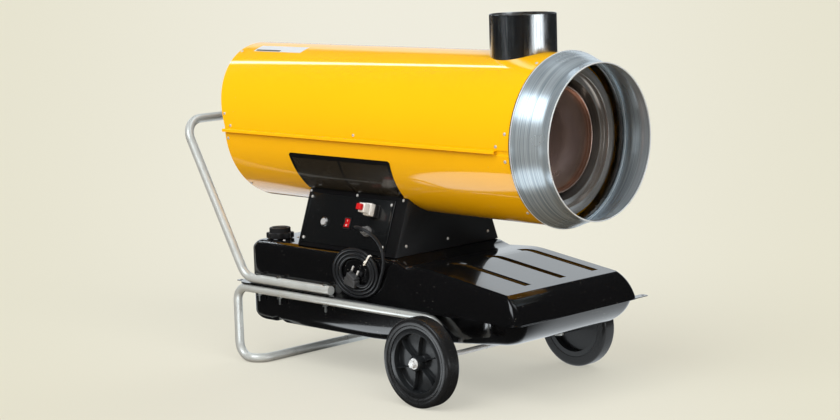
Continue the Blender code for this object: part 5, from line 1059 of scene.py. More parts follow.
def spokes(degrees):
    return [Vector((0, math.cos(math.radians(angle)), math.sin(math.radians(angle)))) for angle in degrees]


ducts = bmesh.new()
for out in spokes((30, 150, 270)):
    low = Vector((duct_x, 0, axis_z)) + out * (chamber_radius - duct_overlap)
    add_rod(ducts, low, low + out * (exchanger_inner - chamber_radius + 2 * duct_overlap), duct_radius, 32)
hand_over("gas_ducts", close_mesh(ducts), exchanger_metal)
brackets = bmesh.new()
for out in spokes((45, 135, 225, 315)):
    for x in bracket_xs:
        for radius in (exchanger_radius + 0.0012, casing_radius - 0.0026):
            foot = frame_of(out, Vector((x, 0, axis_z)) + out * radius)
            add_block(brackets, (bracket_width, bracket_length, bracket_sheet), foot, 0.0004, 1)
        web = Vector((x - bracket_width / 2, 0, axis_z)) + out * (exchanger_radius + casing_radius) / 2
        web = frame_of(out, web)
        web_height = casing_radius - exchanger_radius - 0.003
        add_block(brackets, (bracket_width, bracket_sheet, web_height), web, 0.0004, 1)
# The brackets take the ring metal, which is darkened as painted shade.
hand_over("exchanger_brackets", close_mesh(brackets), gap_shade_ring_metal)


# Flue: a stub of bright rolled stainless pipe with one welded seam. It stands on the
# exchanger and passes through the upper shell.

flue_x = 0.381
flue_radius = 0.075
flue_inner = 0.0735
flue_top_z = 0.855
flue_foot_z = 0.7274
flue_seam_angle = math.radians(-48)
flue_metal = bpy.data.materials.new("rolled_stainless")
nodes = own_nodes(flue_metal)
place = nodes.stretched(nodes.object_place(), location=(-flue_x, 0, 0))
axes = nodes.add("ShaderNodeSeparateXYZ", {0: place}).outputs
lines = nodes.noise(nodes.stretched(place, (260, 260, 7)), 1.0, 3.0)
blots = nodes.noise(nodes.stretched(place, (60, 60, 16)), 1.0, 4.0)
angle = nodes.maths("ARCTAN2", axes["Y"], axes["X"])
from_seam = nodes.maths("ABSOLUTE", nodes.minus(angle, flue_seam_angle))
weld = nodes.span(from_seam, 0.012, 0.03, 1.0, 0.0, soft=True)
heat = nodes.span(from_seam, 0.02, 0.28, 1.0, 0.0, soft=True)
mixed = nodes.plus(nodes.times(lines, 0.5), nodes.times(blots, 0.5))
colour = nodes.blend(nodes.span(mixed, 0.38, 0.64), (0.50, 0.51, 0.52, 1.0), (0.82, 0.84, 0.85, 1.0))
colour = nodes.blend(nodes.times(heat, 0.4), colour, (0.40, 0.27, 0.15, 1.0))
colour = nodes.blend(nodes.times(weld, 0.7), colour, (0.10, 0.09, 0.08, 1.0))
end_in(nodes, colour, nodes.span(mixed, 0.3, 0.7, 0.13, 0.30), nodes.plus(lines, nodes.times(weld, 3.0)),
       0.00005, {"Metallic": 1.0})
flue_loop = [(flue_inner, flue_foot_z), (flue_radius, flue_foot_z), (flue_radius, flue_top_z - 0.0006),
             (flue_radius - 0.0005, flue_top_z), (flue_inner + 0.0005, flue_top_z),
             (flue_inner, flue_top_z - 0.0006)]
flue = spun_sheet([flue_loop], flue_metal, Matrix.Translation((flue_x, 0, 0)), sharp_degrees=32)
hand_over("flue_stub", flue, None, "flue_pipe")


# Fan guard: one disc of black powder-coated sheet with rings of punched arc slots, screwed
# to the ring in the rear end. The fan and its motor stand right behind it.

guard_radius = 0.186
guard_face_x = -0.4361
guard_thickness = 0.002
slot_radii = (0.045, 0.080, 0.115, 0.150)
slot_half = 0.012
spoke_width = 0.008
spoke_steps = 6
guard_screw_circle = 0.1805
quarter_steps = 45
powder_black = surface("powder_black", (0.010, 0.010, 0.011), 0.42, tone=0.12, grain=1500.0,
                       grain_depth=0.00006, spread=0.15, dust=0.2)

guard = geometry_tree("punched_guard", {
    "Thickness": "Float", "Spoke Width": "Float", "Slot Half Width": "Float", "First Row": "Float",
    "Row Pitch": "Float", "Rows": "Float"})
base = guard.given
place = guard.add("GeometryNodeInputPosition").outputs[0]
axes = guard.add("ShaderNodeSeparateXYZ", {0: place}).outputs
row = guard.minus(guard.vector("LENGTH", place, output="Value"), base["First Row"])
row = guard.maths("DIVIDE", row, base["Row Pitch"])
nearest = guard.maths("ROUND", row)
off_row = guard.times(guard.maths("ABSOLUTE", guard.minus(row, nearest)), base["Row Pitch"])
half_spoke = guard.times(base["Spoke Width"], 0.5)
punched = guard.maths("LESS_THAN", off_row, base["Slot Half Width"])
for test in (guard.maths("GREATER_THAN", guard.maths("ABSOLUTE", axes["X"]), half_spoke),
             guard.maths("GREATER_THAN", guard.maths("ABSOLUTE", axes["Y"]), half_spoke),
             guard.maths("LESS_THAN", nearest, guard.minus(base["Rows"], 0.5)),
             guard.maths("GREATER_THAN", nearest, -0.5)):
    punched = guard.times(punched, test)
left_over = guard.add("GeometryNodeDeleteGeometry", {"Geometry": base["Geometry"], "Selection": punched},
                      domain="FACE").outputs[0]
thick = guard.add("GeometryNodeExtrudeMesh", {"Mesh": left_over, "Offset Scale": base["Thickness"],
                                              "Individual": False}, mode="FACES").outputs[0]
whole = guard.add("GeometryNodeJoinGeometry", {0: thick})
guard.set(whole.inputs[0], guard.add("GeometryNodeFlipFaces", {0: left_over}).outputs[0])
dress(guard, whole.outputs[0])

# The disc's mesh has a ring of points at each slot's edge, so that whole faces are punched.
disc_radii = [0.014, 0.027]
for middle in slot_radii:
    disc_radii += [middle + slot_half * share for share in (-1, -0.5, 0, 0.5, 1)]
rows = []
for radius in reversed(disc_radii + [0.170, guard_radius]):
    half_turn = math.asin(min(0.45, spoke_width / 2 / radius))
    rows.append([])
    for corner in range(4):
        for k in range(quarter_steps):
            in_span = (k - spoke_steps) / (quarter_steps - spoke_steps)
            angle = (half_turn * (2 * k / spoke_steps - 1) if in_span < 0
                     else half_turn + (quarter - 2 * half_turn) * in_span)
            rows[-1].append((radius * math.cos(quarter * corner + angle),
                             radius * math.sin(quarter * corner + angle), 0))
disc = bmesh.new()
skin(disc, rows + [[(0, 0, 0)]])
guard_mesh = made_by(guard, mesh_of(disc), {
    "Thickness": guard_thickness, "Spoke Width": spoke_width, "Slot Half Width": slot_half,
    "First Row": slot_radii[0], "Row Pitch": slot_radii[1] - slot_radii[0], "Rows": float(len(slot_radii)),
    "Material": powder_black}, 30)
guard_mesh.transform(frame_of((-1, 0, 0), (guard_face_x + guard_thickness, 0, axis_z)))
hand_over("guard_disc", guard_mesh, None, "fan_guard")
guard_middle = Vector((guard_face_x, 0, axis_z))
screw_row("guard_screws", [(guard_middle + out * guard_screw_circle, Vector((-1, 0, 0)))
                           for out in spokes((45, 135, 225, 315))], head_radius, head_height)


# Control housing: a folded box of black sheet between the tank and the casing. Its long
# sides slope, and the control panel is a separate plate screwed to the right one.

housing_rear_x = -0.204
housing_front_x = 0.130
housing_fold_radius = 0.003
black_sheet = surface("black_sheet", (0.0045, 0.0045, 0.005), 0.30, coat=0.25, coat_roughness=0.2, tone=0.15,
                      grain=1400.0, grain_depth=0.00004, spread=0.12, dust=0.12)

# The top stops short of the casing and follows its underside in the middle.
body_line = [(-housing_base_half, housing_base_z), (-housing_top_half, housing_top_z - 0.0008)]
for i in range(1, 12):
    y = (housing_top_half - 0.0005) * (i / 6 - 1)
    body_line.append((y, min(axis_z - math.sqrt(casing_radius**2 - y**2) - 0.0006, housing_top_z)))
body_line += [(housing_top_half, housing_top_z - 0.0008), (housing_base_half, housing_base_z)]
shape = bmesh.new()
ends = skin(shape, [[(x, y, z) for y, z in body_line] for x in (housing_rear_x, housing_front_x)], caps=True)
bmesh.ops.recalc_face_normals(shape, faces=shape.faces)
folds = [shape.edges.get((end[i], end[i + 1])) for end in ends for i in (0, len(body_line) - 2)]
bmesh.ops.bevel(shape, geom=folds, offset=housing_fold_radius, segments=4, profile=0.5, affect="EDGES")
hand_over("housing_box", close_mesh(shape, 20), black_sheet, "control_housing")

panel_middle = (-0.050, 0.3705)
panel_size = (0.292, 0.121, 0.002)
panel_screw_inset = 0.0105
strip_width = 0.009
strip_rise = 0.0012
panel_black = surface("panel_black", (0.0055, 0.006, 0.0065), 0.24, coat=0.5, coat_roughness=0.12, tone=0.15,
                      grain=1200.0, grain_depth=0.00003, dust=0.1)
panel = bmesh.new()
add_block(panel, panel_size, panel_frame(*panel_middle, sheet_gap + panel_size[2] / 2 + 0.0003), 0.0005, 2)
for side in (-1, 1):
    x = panel_middle[0] + side * (panel_size[0] / 2 - strip_width / 2 + 0.0002)
    add_block(panel, (strip_width, panel_size[1], panel_size[2] + strip_rise),
              panel_frame(x, panel_middle[1], (panel_size[2] + strip_rise) / 2 + 0.0006), 0.0008, 2)
hand_over("panel_plate", close_mesh(panel), panel_black, "control_panel")

top_screw_drop = 0.006
top_screw_shares = (0.02, 0.5, 0.96)
front_screw_ys = (-0.137, 0.0, 0.137)
front_screw_z = 0.3267
mirror_y = Vector((1, -1, 1))
panel_top = panel_frame(*panel_middle, panel_face + 0.0007)
screw_x, screw_y = (panel_size[i] / 2 - panel_screw_inset for i in (0, 1))
seats = [(moved(panel_top, across * screw_x, up * screw_y).translation, slope_out)
         for across in (-1, 1) for up in (-1, 1)]
for share in top_screw_shares:
    x = housing_rear_x + (housing_front_x - housing_rear_x) * share
    seat = panel_frame(x, housing_top_z - top_screw_drop).translation
    seats += [(seat, slope_out), (seat * mirror_y, slope_out * mirror_y)]
seats += [(Vector((housing_front_x, y, front_screw_z)), Vector((1, 0, 0))) for y in front_screw_ys]
screw_row("housing_screws", seats)


# Controls: a round reset button in its bezel, a red rocker switch, the thermostat socket
# with its white shorting plug, and the gland that grips the power cord.

black_moulding = surface("black_moulding", (0.018, 0.018, 0.019), 0.36, grain_depth=0.00005)
bezel_metal = surface("bezel_metal", (0.50, 0.50, 0.49), 0.30, metallic=1.0, tone_scale=80.0)
button_plastic = surface("button_plastic", (0.40, 0.41, 0.42), 0.35, tone=0.08)
reset_frame = panel_frame(-0.125, 0.3635, panel_face)
bezel = bmesh.new()
add_turned(bezel, [(0.0088, -0.006), (0.0114, -0.006), (0.0115, 0.0018), (0.0112, 0.0026), (0.0104, 0.0030),
                   (0.0094, 0.0028), (0.0088, 0.0020)], reset_frame, closed_loop=True)
hand_over("reset_ring", close_mesh(bezel), bezel_metal, "reset_bezel")
button = bmesh.new()
add_turned(button, [(0, -0.006), (0.0084, -0.006), (0.0084, 0.0046),
                    *((0.0072 + 0.0012 * out, 0.0048 + 0.0010 * up) for out, up in arc(1, 0, quarter, 5)),
                    (0.0052, 0.0056), (0.0026, 0.0053), (0, 0.0052)], reset_frame)
hand_over("reset_cap", close_mesh(button), button_plastic, "reset_button", "reset")

switch_width = 0.022
switch_height = 0.028
switch_border = 0.0025
switch_rise = 0.0025
pocket_depth = 0.012
pocket_wall = 0.001
switch_frame = panel_frame(-0.046, 0.3665, panel_face)
open_width = switch_width - switch_border
open_height = switch_height - switch_border
surround = bmesh.new()
for x, y in ((0, 1), (0, -1), (1, 0), (-1, 0)):
    rim = (switch_width, switch_border) if y else (switch_border, switch_height - 0.0004)
    wall = ((switch_width - 4 * switch_border / 3, pocket_wall) if y
            else (pocket_wall, switch_height - 1.5 * switch_border))
    add_block(surround, (*rim, switch_rise),
              moved(switch_frame, x * open_width / 2, y * open_height / 2, switch_rise / 2), 0.0005, 2)
    add_block(surround, (*wall, pocket_depth),
              moved(switch_frame, x * (open_width - pocket_wall) / 2, y * (open_height - pocket_wall) / 2,
                    (switch_rise - pocket_depth) / 2))
add_block(surround, (open_width, open_height, pocket_wall), moved(switch_frame, z=switch_rise - pocket_depth))
hand_over("switch_surround", close_mesh(surround), black_moulding, "power_switch_frame")

# The rocker is a two-faced red key. Its lower face carries the usual white O and its upper
# face the usual white I.
rocker_tilt = math.radians(7)
rocker_pivot_depth = 0.0005
rocker_half = 0.0104
rocker_side = 0.0078
rocker_thick = 0.0035
red_key = surface("red_key", (0.46, 0.006, 0.008), 0.24, coat=0.4, tone=0.06, grain=800.0, specular=0.6)
key_white = surface("key_white", (0.78, 0.78, 0.76), 0.45, tone=0.04)
rocker_frame = (moved(switch_frame, z=switch_rise - rocker_pivot_depth - rocker_thick * 0.4)
                @ Matrix.Rotation(-rocker_tilt, 4, "X"))
outline = [(-rocker_half, -rocker_thick), (rocker_half, -rocker_thick), (rocker_half, rocker_thick)]
for i in range(1, 8):
    along = 1 - i / 4
    outline.append((rocker_half * along, rocker_thick * (0.4 + 0.6 * abs(along)**1.4)))
outline.append((-rocker_half, rocker_thick))
key = bmesh.new()
rows = [[rocker_frame @ Vector((x, y, z)) for y, z in outline] for x in (-rocker_side, rocker_side)]
skin(key, rows, caps=True)
bmesh.ops.recalc_face_normals(key, faces=key.faces)
rims = [edge for edge in key.edges if edge.calc_face_angle(0) > 0.6]
bmesh.ops.bevel(key, geom=rims, offset=0.0006, segments=3, profile=0.5, affect="EDGES")
hand_over("rocker_key", close_mesh(key, 25), red_key, "power_rocker", "rocker")
slope = math.atan2(rocker_thick * 0.6, rocker_half)
upper_half, lower_half = (moved(rocker_frame, y=side * rocker_half * 0.52, z=rocker_thick * 0.69)
                          @ Matrix.Rotation(side * slope, 4, "X") for side in (1, -1))
marks = bmesh.new()
add_block(marks, (0.0010, 0.0048, 0.0003), moved(upper_half, z=0.00012))
add_turned(marks, [(0.0016, -0.0001), (0.0025, -0.0001), (0.0025, 0.0003), (0.0016, 0.0003)], lower_half,
           32, True)
hand_over("rocker_marks", close_mesh(marks), key_white, body="rocker")

socket_base = (0.030, 0.030, 0.0035)
shroud_size = (0.024, 0.028, 0.010)
plug_block = (0.022, 0.029, 0.034)
plug_end_length = 0.010
socket_frame = panel_frame(0.037, 0.3995, panel_face)
plug_low = socket_base[2] + shroud_size[2] + sheet_gap
socket_shape = bmesh.new()
add_block(socket_shape, socket_base, moved(socket_frame, z=socket_base[2] / 2), 0.0008)
add_block(socket_shape, shroud_size, moved(socket_frame, z=socket_base[2] + shroud_size[2] / 2), 0.0012)
hand_over("thermostat_base", close_mesh(socket_shape), black_moulding, "thermostat_socket")

white_moulding = surface("white_moulding", (0.80, 0.79, 0.76), 0.34, coat=0.15, tone=0.05, grain=700.0,
                         specular=0.45)
red_moulding = surface("red_moulding", (0.55, 0.008, 0.010), 0.34, tone=0.08, grain=700.0)
wide, high, length = plug_block
first_half = length * 0.42
second_half = length - first_half - 0.0012
white_shape = bmesh.new()
for size, x, up, rounding, segments in (
        ((wide, high, first_half), 0, first_half / 2, 0.0016, 4),
        ((wide * 0.84, high * 0.76, second_half), 0, first_half + 0.0006 + second_half / 2, 0.0016, 4),
        ((wide * 0.76, high * 0.7, length * 0.5), 0, length / 2, 0, 1),
        ((0.0014, high * 0.42, first_half * 0.62), wide / 2 - 0.0001, first_half / 2, 0.0005, 2),
        ((0.0014, high * 0.42, first_half * 0.62), 0.0001 - wide / 2, first_half / 2, 0.0005, 2)):
    add_block(white_shape, size, moved(socket_frame, x, 0, plug_low + up), rounding, segments)
hand_over("shorting_plug", close_mesh(white_shape), white_moulding, "thermostat_plug",
          "thermostat")
end_shape = bmesh.new()
add_block(end_shape, (wide * 0.66, high * 0.5, plug_end_length),
          moved(socket_frame, z=plug_low + length + sheet_gap + plug_end_length / 2), 0.0018, 4)
hand_over("shorting_plug_end", close_mesh(end_shape), red_moulding, "thermostat_plug_end",
          "thermostat")

# The gland's nut is turned round first, and its rim is then drawn in to six flats.
gland_nut = 0.009
gland_dome = 0.011
half_flats = 0.0112
gland_grey = surface("gland_grey", (0.16, 0.165, 0.17), 0.36, tone=0.12, grain_depth=0.00004)
gland_frame = panel_frame(*gland_place, panel_face)
gland_shape = bmesh.new()
nut_loop = [(0.0042, -0.010), (0.0078, -0.010), (0.0078, 0), (0.0118, 0), (0.0125, 0.0008),
            (0.0125, gland_nut - 0.0010), (0.0116, gland_nut), (0.0086, gland_nut)]
nut_loop += [(0.0066 + 0.0019 * out, gland_nut + gland_dome * (0.55 + 0.45 * up))
             for out, up in arc(1, 0, quarter, 6)]
nut_loop += [(0.0052, gland_nut + gland_dome), (0.0042, gland_nut + gland_dome - 0.002)]
add_turned(gland_shape, nut_loop, gland_frame, closed_loop=True)
for vert in gland_shape.verts:
    local = gland_frame.inverted() @ vert.co
    if -0.0005 < local.z < gland_nut + 0.0002 and local.xy.length > 0.0105:
        from_flat = (math.atan2(local.y, local.x) + math.pi / 6) % (math.pi / 3) - math.pi / 6
        shrink = min(1.0, half_flats / math.cos(from_flat) / local.xy.length)
        vert.co = gland_frame @ Vector((local.x * shrink, local.y * shrink, local.z))
hand_over("gland_nut", close_mesh(gland_shape, 28), gland_grey, "cable_gland")


# Fuel tank: two deep-drawn steel halves, gloss black inside a lacquered weld flange. The
# deck steps down towards the front and has three pressed grooves.

tank_upper_z = 0.19915
tank_lower_z = 0.19885
tank_sheet = 0.0015
tank_rear_x = -0.367
tank_front_x = 0.515
tank_half = 0.1855
tank_corner = 0.022
flange_width = 0.024
flange_front = 0.018
side_steps = 44
wall_levels = 12
straight_share = 0.3
shoulder_start = 0.112
shoulder_full = 0.235
shoulder_half = 0.2070
shoulder_front_x = 0.5315
crown_half = 0.1855
crown_front_x = 0.487
pan_half = 0.2030
pan_front_x = 0.5290
pan_swell = (0.405, 0.465)
pan_floor_half = 0.160
pan_floor_front_x = 0.470
deck_line = [(-1.0, 0.3044), (0.126, 0.3044), (0.134, 0.3036), (0.143, 0.3010), (0.151, 0.2965),
             (0.158, 0.2933), (0.166, 0.2921), (0.20, 0.2926), (0.232, 0.2932), (0.250, 0.2925),
             (0.268, 0.2905), (0.487, 0.2592), (1.0, 0.1856)]
pan_line = [(-1.0, 0.105), (0.04, 0.105), (0.08, 0.1065), (0.468, 0.143), (1.0, 0.1926)]
tank_black = surface("tank_black", (0.003, 0.003, 0.0033), 0.17, coat=1.0, tone=0.25, tone_scale=6.0,
                     grain=260.0, grain_depth=0.00004, spread=0.07, dust=0.34, dust_colour=(0.42, 0.41, 0.38))


def plan_side(rear_x, front_x, half, rear_radius, front_radius):
    """Left half of a plan outline as (x, y), from its rear edge round the corners to its front."""
    side = arc(rear_radius, math.pi, quarter, 8, (rear_x + rear_radius, half - rear_radius))
    start, end = side[-1][0], front_x - front_radius
    side += [(start + (end - start) * i / side_steps, half) for i in range(1, side_steps)]
    return side + arc(front_radius, quarter, 0, 10, (end, half - front_radius))


def eased(x, start, end):
    share = min(1.0, max(0.0, (x - start) / (end - start)))
    return share * share * (3 - 2 * share)


def swelling(side, narrow, start=shoulder_start, end=shoulder_full):
    """A side narrowed to a share behind the start, which swells to its full width at the end."""
    return [(x, y * (narrow + (1 - narrow) * eased(x, start, end))) for x, y in side]


def on_line(line, x):
    for (x0, z0), (x1, z1) in zip(line, line[1:]):
        if x <= x1:
            return z0 + (z1 - z0) * (x - x0) / (x1 - x0)


def wall_pair(first, last, upright):
    """The upright wall with a round edge and the swelling one, as (out, up) level by level."""
    steep, full = [], []
    for i in range(wall_levels + 1):
        share = i / wall_levels
        straight = min(1.0, share / straight_share)
        bend = max(0.0, (share - straight_share) / (1 - straight_share)) * quarter
        steep.append((math.cos(bend), upright * straight + (1 - upright) * math.sin(bend)))
        angle = last + (first - last) * share
        full.append(((math.sin(angle) - math.sin(first)) / (math.sin(last) - math.sin(first)),
                     (math.cos(angle) - math.cos(last)) / (math.cos(first) - math.cos(last))))
    return steep, full


def drawn_shell(crown, foot, foot_z, line, walls):
    """A pressing from its foot outline up to its crown, whose height follows a line along x.

    The rear half has an upright wall with a round top edge. Ahead of the step the deck ends
    in a crease, and a full shoulder swells out from it to the weld flange.
    """
    rows = []
    for (steep_out, steep_up), (full_out, full_up) in zip(*walls):
        row = []
        for (crown_x, crown_y), (foot_x, foot_y) in zip(crown, foot):
            share = eased(crown_x, shoulder_start, shoulder_full)
            out = steep_out + (full_out - steep_out) * share
            up = steep_up + (full_up - steep_up) * share
            row.append((crown_x + (foot_x - crown_x) * out, crown_y + (foot_y - crown_y) * out,
                        foot_z + (on_line(line, crown_x) - foot_z) * up))
        rows.append([(x, -y, z) for x, y, z in row] + row[::-1])
    shape = bmesh.new()
    rows = skin(shape, rows)
    for row in (rows[0], rows[-1]):
        for i in range(len(crown) - 1):
            shape.faces.new((row[i], row[i + 1], row[-2 - i], row[-1 - i]))
    bmesh.ops.recalc_face_normals(shape, faces=shape.faces)
    return mesh_of(shape)


def cut_from(mesh, tool_mesh):
    """A solid mesh less another one."""
    item = new_object("pressing", mesh, heater_collection)
    tool = new_object("tool", tool_mesh, heater_collection)
    modifier = item.modifiers.new("cut", "BOOLEAN")
    modifier.operation = "DIFFERENCE"
    modifier.solver = "EXACT"
    modifier.object = tool
    cut = plain_mesh(item)
    bpy.data.objects.remove(tool, do_unlink=True)
    return cut


tubes = geometry_tree("bent_tube", {"Radius": "Float", "Sides": "Int"})
line = tubes.add("GeometryNodeMeshToCurve", {"Mesh": tubes.given["Geometry"]})
ring = tubes.add("GeometryNodeCurvePrimitiveCircle", {"Radius": tubes.given["Radius"],
                                                      "Resolution": tubes.given["Sides"]})
dress(tubes, tubes.add("GeometryNodeCurveToMesh", {
    "Curve": line.outputs[0], "Profile Curve": ring.outputs[0], "Fill Caps": True}).outputs[0])


def tubes_along(routes, radius, material, sides=28):
    """Round tubes with closed ends along lists of places."""
    return made_by(tubes, wire_mesh(routes), {"Radius": radius, "Sides": sides, "Material": material}, 40)


# Each groove is pressed along the deck and hooks round at its rear end.
groove_front_x = 0.455
groove_rear_x = 0.268
groove_ys = (-0.084, 0.034, 0.145)
groove_hook = (0.026, 0.020)
groove_radius = 0.0122
groove_rise = 0.0056
routes = []
for y in groove_ys:
    route = [(groove_front_x - (groove_front_x - groove_rear_x) * i / 4, y) for i in range(5)]
    route += [(groove_rear_x - groove_hook[0] * out, y - groove_hook[1] * (1 - along))
              for along, out in arc(1, 0, quarter, 8)[1:]]
    routes.append([(x, across, on_line(deck_line, x) + groove_rise) for x, across in route])
upper_foot = swelling(plan_side(tank_rear_x, shoulder_front_x, shoulder_half, tank_corner, 0.020),
                      tank_half / shoulder_half)
upper_crown = swelling(plan_side(tank_rear_x + tank_corner, crown_front_x, crown_half, 0.012, 0.006),
                       (tank_half - tank_corner) / crown_half)
upper_walls = wall_pair(math.radians(25), math.radians(74), 0.79)
upper_mesh = cut_from(drawn_shell(upper_crown, upper_foot, tank_upper_z, deck_line, upper_walls),
                      tubes_along(routes, groove_radius, tank_black, 16))

# The pan has a round recess in its right side, where the drain plug sits.
drain_x = -0.28
drain_z = 0.102
drain_radius = 0.022
drain_depth = 0.05
recess = bmesh.new()
add_rod(recess, (drain_x, -tank_half - 0.01, drain_z), (drain_x, drain_depth - tank_half, drain_z),
        drain_radius, 40)
lower_foot = swelling(plan_side(tank_rear_x, pan_front_x, pan_half, tank_corner, 0.034),
                      tank_half / pan_half, *pan_swell)
lower_crown = plan_side(tank_rear_x + 0.028, pan_floor_front_x, pan_floor_half, 0.012, 0.020)
lower_walls = wall_pair(math.radians(12), math.radians(76), 0.70)
lower_mesh = cut_from(drawn_shell(lower_crown, lower_foot, tank_lower_z, pan_line, lower_walls),
                      close_mesh(recess))


def rounded_rectangle(middle, size, radius, steps=8):
    outline = []
    for i, (x, y) in enumerate(((1, 1), (-1, 1), (-1, -1), (1, -1))):
        centre = (middle[0] + x * (size[0] / 2 - radius), middle[1] + y * (size[1] / 2 - radius))
        outline += arc(radius, quarter * i, quarter * (i + 1), steps, centre)
    return outline


def flange_plate(shape, z):
    """The weld flange of one half, with its rolled outer edge."""
    low_x, high_x = tank_rear_x - flange_width, tank_front_x + flange_front
    size = (high_x - low_x, 2 * (tank_half + flange_width))
    middle = Vector(((tank_rear_x + tank_front_x) / 2, 0))
    rows = []
    for grow, height in ((-0.0007, -0.5), (0, -0.2), (0, 0.2), (-0.0007, 0.5)):
        rows.append([])
        for place in rounded_rectangle(((low_x + high_x) / 2, 0), size, tank_corner):
            place = Vector(place) + (Vector(place) - middle).normalized() * grow
            rows[-1].append((*place, z + tank_sheet * height))
    skin(shape, rows, caps=True)


# Two tabs with a hole stand out of the flange, one at the rear and one at the front.
tab_hole_radius = 0.004
tab_corner = 0.008
top = bmesh.new()
flange_plate(top, tank_upper_z + tank_sheet / 2)
for middle, size, hole in (((-0.391, -0.188), (0.040, 0.020), (-0.401, -0.188)),
                           ((0.524, 0.2095), (0.022, 0.060), (0.524, 0.229))):
    outer = rounded_rectangle(middle, size, tab_corner, 6)
    hole = Vector(hole)
    inner = [hole + (Vector(place) - hole).normalized() * tab_hole_radius for place in outer]
    low, high = tank_upper_z + 0.00005, tank_upper_z + tank_sheet - 0.00005
    skin(top, [[(x, y, z) for x, y in edge] for edge, z in
               ((outer, low), (outer, high), (inner, high), (inner, low))], looped=True)
top.from_mesh(upper_mesh)
hand_over("tank_top", close_mesh(top, 24), tank_black, "tank_upper")
pan = bmesh.new()
flange_plate(pan, tank_lower_z - tank_sheet / 2)
pan.from_mesh(lower_mesh)
hand_over("tank_pan", close_mesh(pan, 42), tank_black, "tank_lower")


# Filler: a necked pipe with a flange screwed to the tank, closed by a ribbed black cap with
# eight round lobes at its foot.

filler_place = (-0.316, -0.130)
tank_top_z = 0.3044
neck_radius = 0.0215
neck_flange = 0.031
cap_low_z = 0.3065
cap_height = 0.0252
drum_radius = 0.0265
ear_radius = 0.0345
lobes = 8
skirt_height = 0.013
fine_ribs = 48
cap_steps = 192
cap_bar = (0.034, 0.006, 0.0022)
cap_bar_turn = 0.6
rib_height = 0.00045
cap_plastic = surface("cap_plastic", (0.013, 0.013, 0.014), 0.38, tone=0.12, grain=700.0, grain_depth=0.00006,
                      dust=0.2)
neck = bmesh.new()
neck_loop = [(neck_radius - 0.002, -0.012), (neck_radius, -0.012), (neck_radius, 0.0003),
             (neck_flange - 0.0006, 0.0003), (neck_flange, 0.0008), (neck_flange - 0.0006, 0.0018),
             (neck_radius + 0.001, 0.0018), (neck_radius, 0.003), (neck_radius, 0.014),
             (neck_radius - 0.002, 0.014)]
add_turned(neck, neck_loop, Matrix.Translation((*filler_place, tank_top_z)), closed_loop=True)
hand_over("filler_pipe", close_mesh(neck), tank_black, "filler_neck")

# Each level of the cap has its height, its share of the lobes and of the ribs, and its scale.
cap_frame = Matrix.Translation((*filler_place, cap_low_z))
cap_levels = [(0, 1.0, 0.0, 0.985), (0.0012, 1.0, 0.0, 1.0), (skirt_height - 0.0016, 1.0, 0.0, 1.0),
              (skirt_height, 0.92, 0.0, 0.985), (skirt_height + 0.0002, 0.0, 0.0, 0.985),
              (skirt_height + 0.0009, 0.0, 1.0, 0.965), (cap_height - 0.0020, 0.0, 1.0, 0.965),
              (cap_height - 0.0008, 0.0, 0.3, 0.955), (cap_height, 0.0, 0.0, 0.915),
              (cap_height, 0.0, 0.0, 0.80), (cap_height - 0.0012, 0.0, 0.0, 0.77),
              (cap_height - 0.0012, 0.0, 0.0, 0.3)]
rows = []
for z, lobed, ribbed, grow in cap_levels:
    rows.append([])
    for i in range(cap_steps):
        angle = math.tau * i / cap_steps
        wave = 0.35 + 0.65 * (1 + math.cos(lobes * angle)) / 2
        radius = (drum_radius + lobed * (ear_radius - drum_radius - 0.0006) * wave) * grow
        radius += ribbed * rib_height * math.cos(fine_ribs * angle)
        rows[-1].append(cap_frame @ Vector((radius * math.cos(angle), radius * math.sin(angle), z)))
cap_shape = bmesh.new()
skin(cap_shape, rows, caps=True)
add_block(cap_shape, cap_bar,
          moved(cap_frame, z=cap_height - 0.0006) @ Matrix.Rotation(cap_bar_turn, 4, "Z"), 0.0008, 2)
hand_over("filler_lid", close_mesh(cap_shape, 40), cap_plastic, "filler_cap", "cap")
screw_row("deck_screws", [(Vector((x, y, tank_top_z)), Vector((0, 0, 1)))
                          for x, y in ((-0.279, -0.150), (-0.289, -0.096))])


# Tube frame: the handle and the stand are each one bent galvanised tube. They clamp the
# tank's flange between them, and six bolts with nuts hold both.

tube_radius = 0.011
tube_y = 0.198
handle_z = 0.21142
stand_z = 0.18658
bend_steps = 14
tube_metal = surface("frame_galvanised", (0.74, 0.78, 0.77), 0.32, metallic=0.5, tone=0.14, tone_scale=26.0,
                     spread=0.25, grain=1300.0, stretch=(0.6, 1, 1))


def bent_route(corners, radii):
    """A tube's route from the (x, z) corners of its right half and the bend radius at each."""
    corners = [Vector((x, -tube_y, z)) for x, z in corners]
    corners += [Vector((corner.x, tube_y, corner.z)) for corner in reversed(corners)]
    route = [corners[0]]
    for i, radius in enumerate(radii + radii[::-1], start=1):
        here = corners[i]
        back = (corners[i - 1] - here).normalized()
        ahead = (corners[i + 1] - here).normalized()
        half = back.angle(ahead) / 2
        reach = radius / math.tan(half)
        centre = here + (back + ahead).normalized() * (radius / math.sin(half))
        start = here + back * reach - centre
        end = here + ahead * reach - centre
        sweep = start.angle(end)
        for k in range(bend_steps + 1):
            share = k / bend_steps
            route.append(centre + start * (math.sin((1 - share) * sweep) / math.sin(sweep))
                         + end * (math.sin(share * sweep) / math.sin(sweep)))
    return route + [corners[-1]]


for name, node, corners, radii in (
        ("handle_tube", "handle_frame", ((-0.0645, handle_z), (-0.3716, handle_z), (-0.589, 0.587)),
         (0.05, 0.055)),
        ("stand_tube", "stand_frame", ((0.295, 0.0844), (0.295, stand_z), (-0.406, stand_z),
                                       (-0.406, tube_radius), (-0.332, tube_radius)),
         (0.05, 0.037, 0.037, 0.034))):
    tube = tubes_along([bent_route(corners, radii)], tube_radius, tube_metal)
    hand_over(name, tube, None, node)

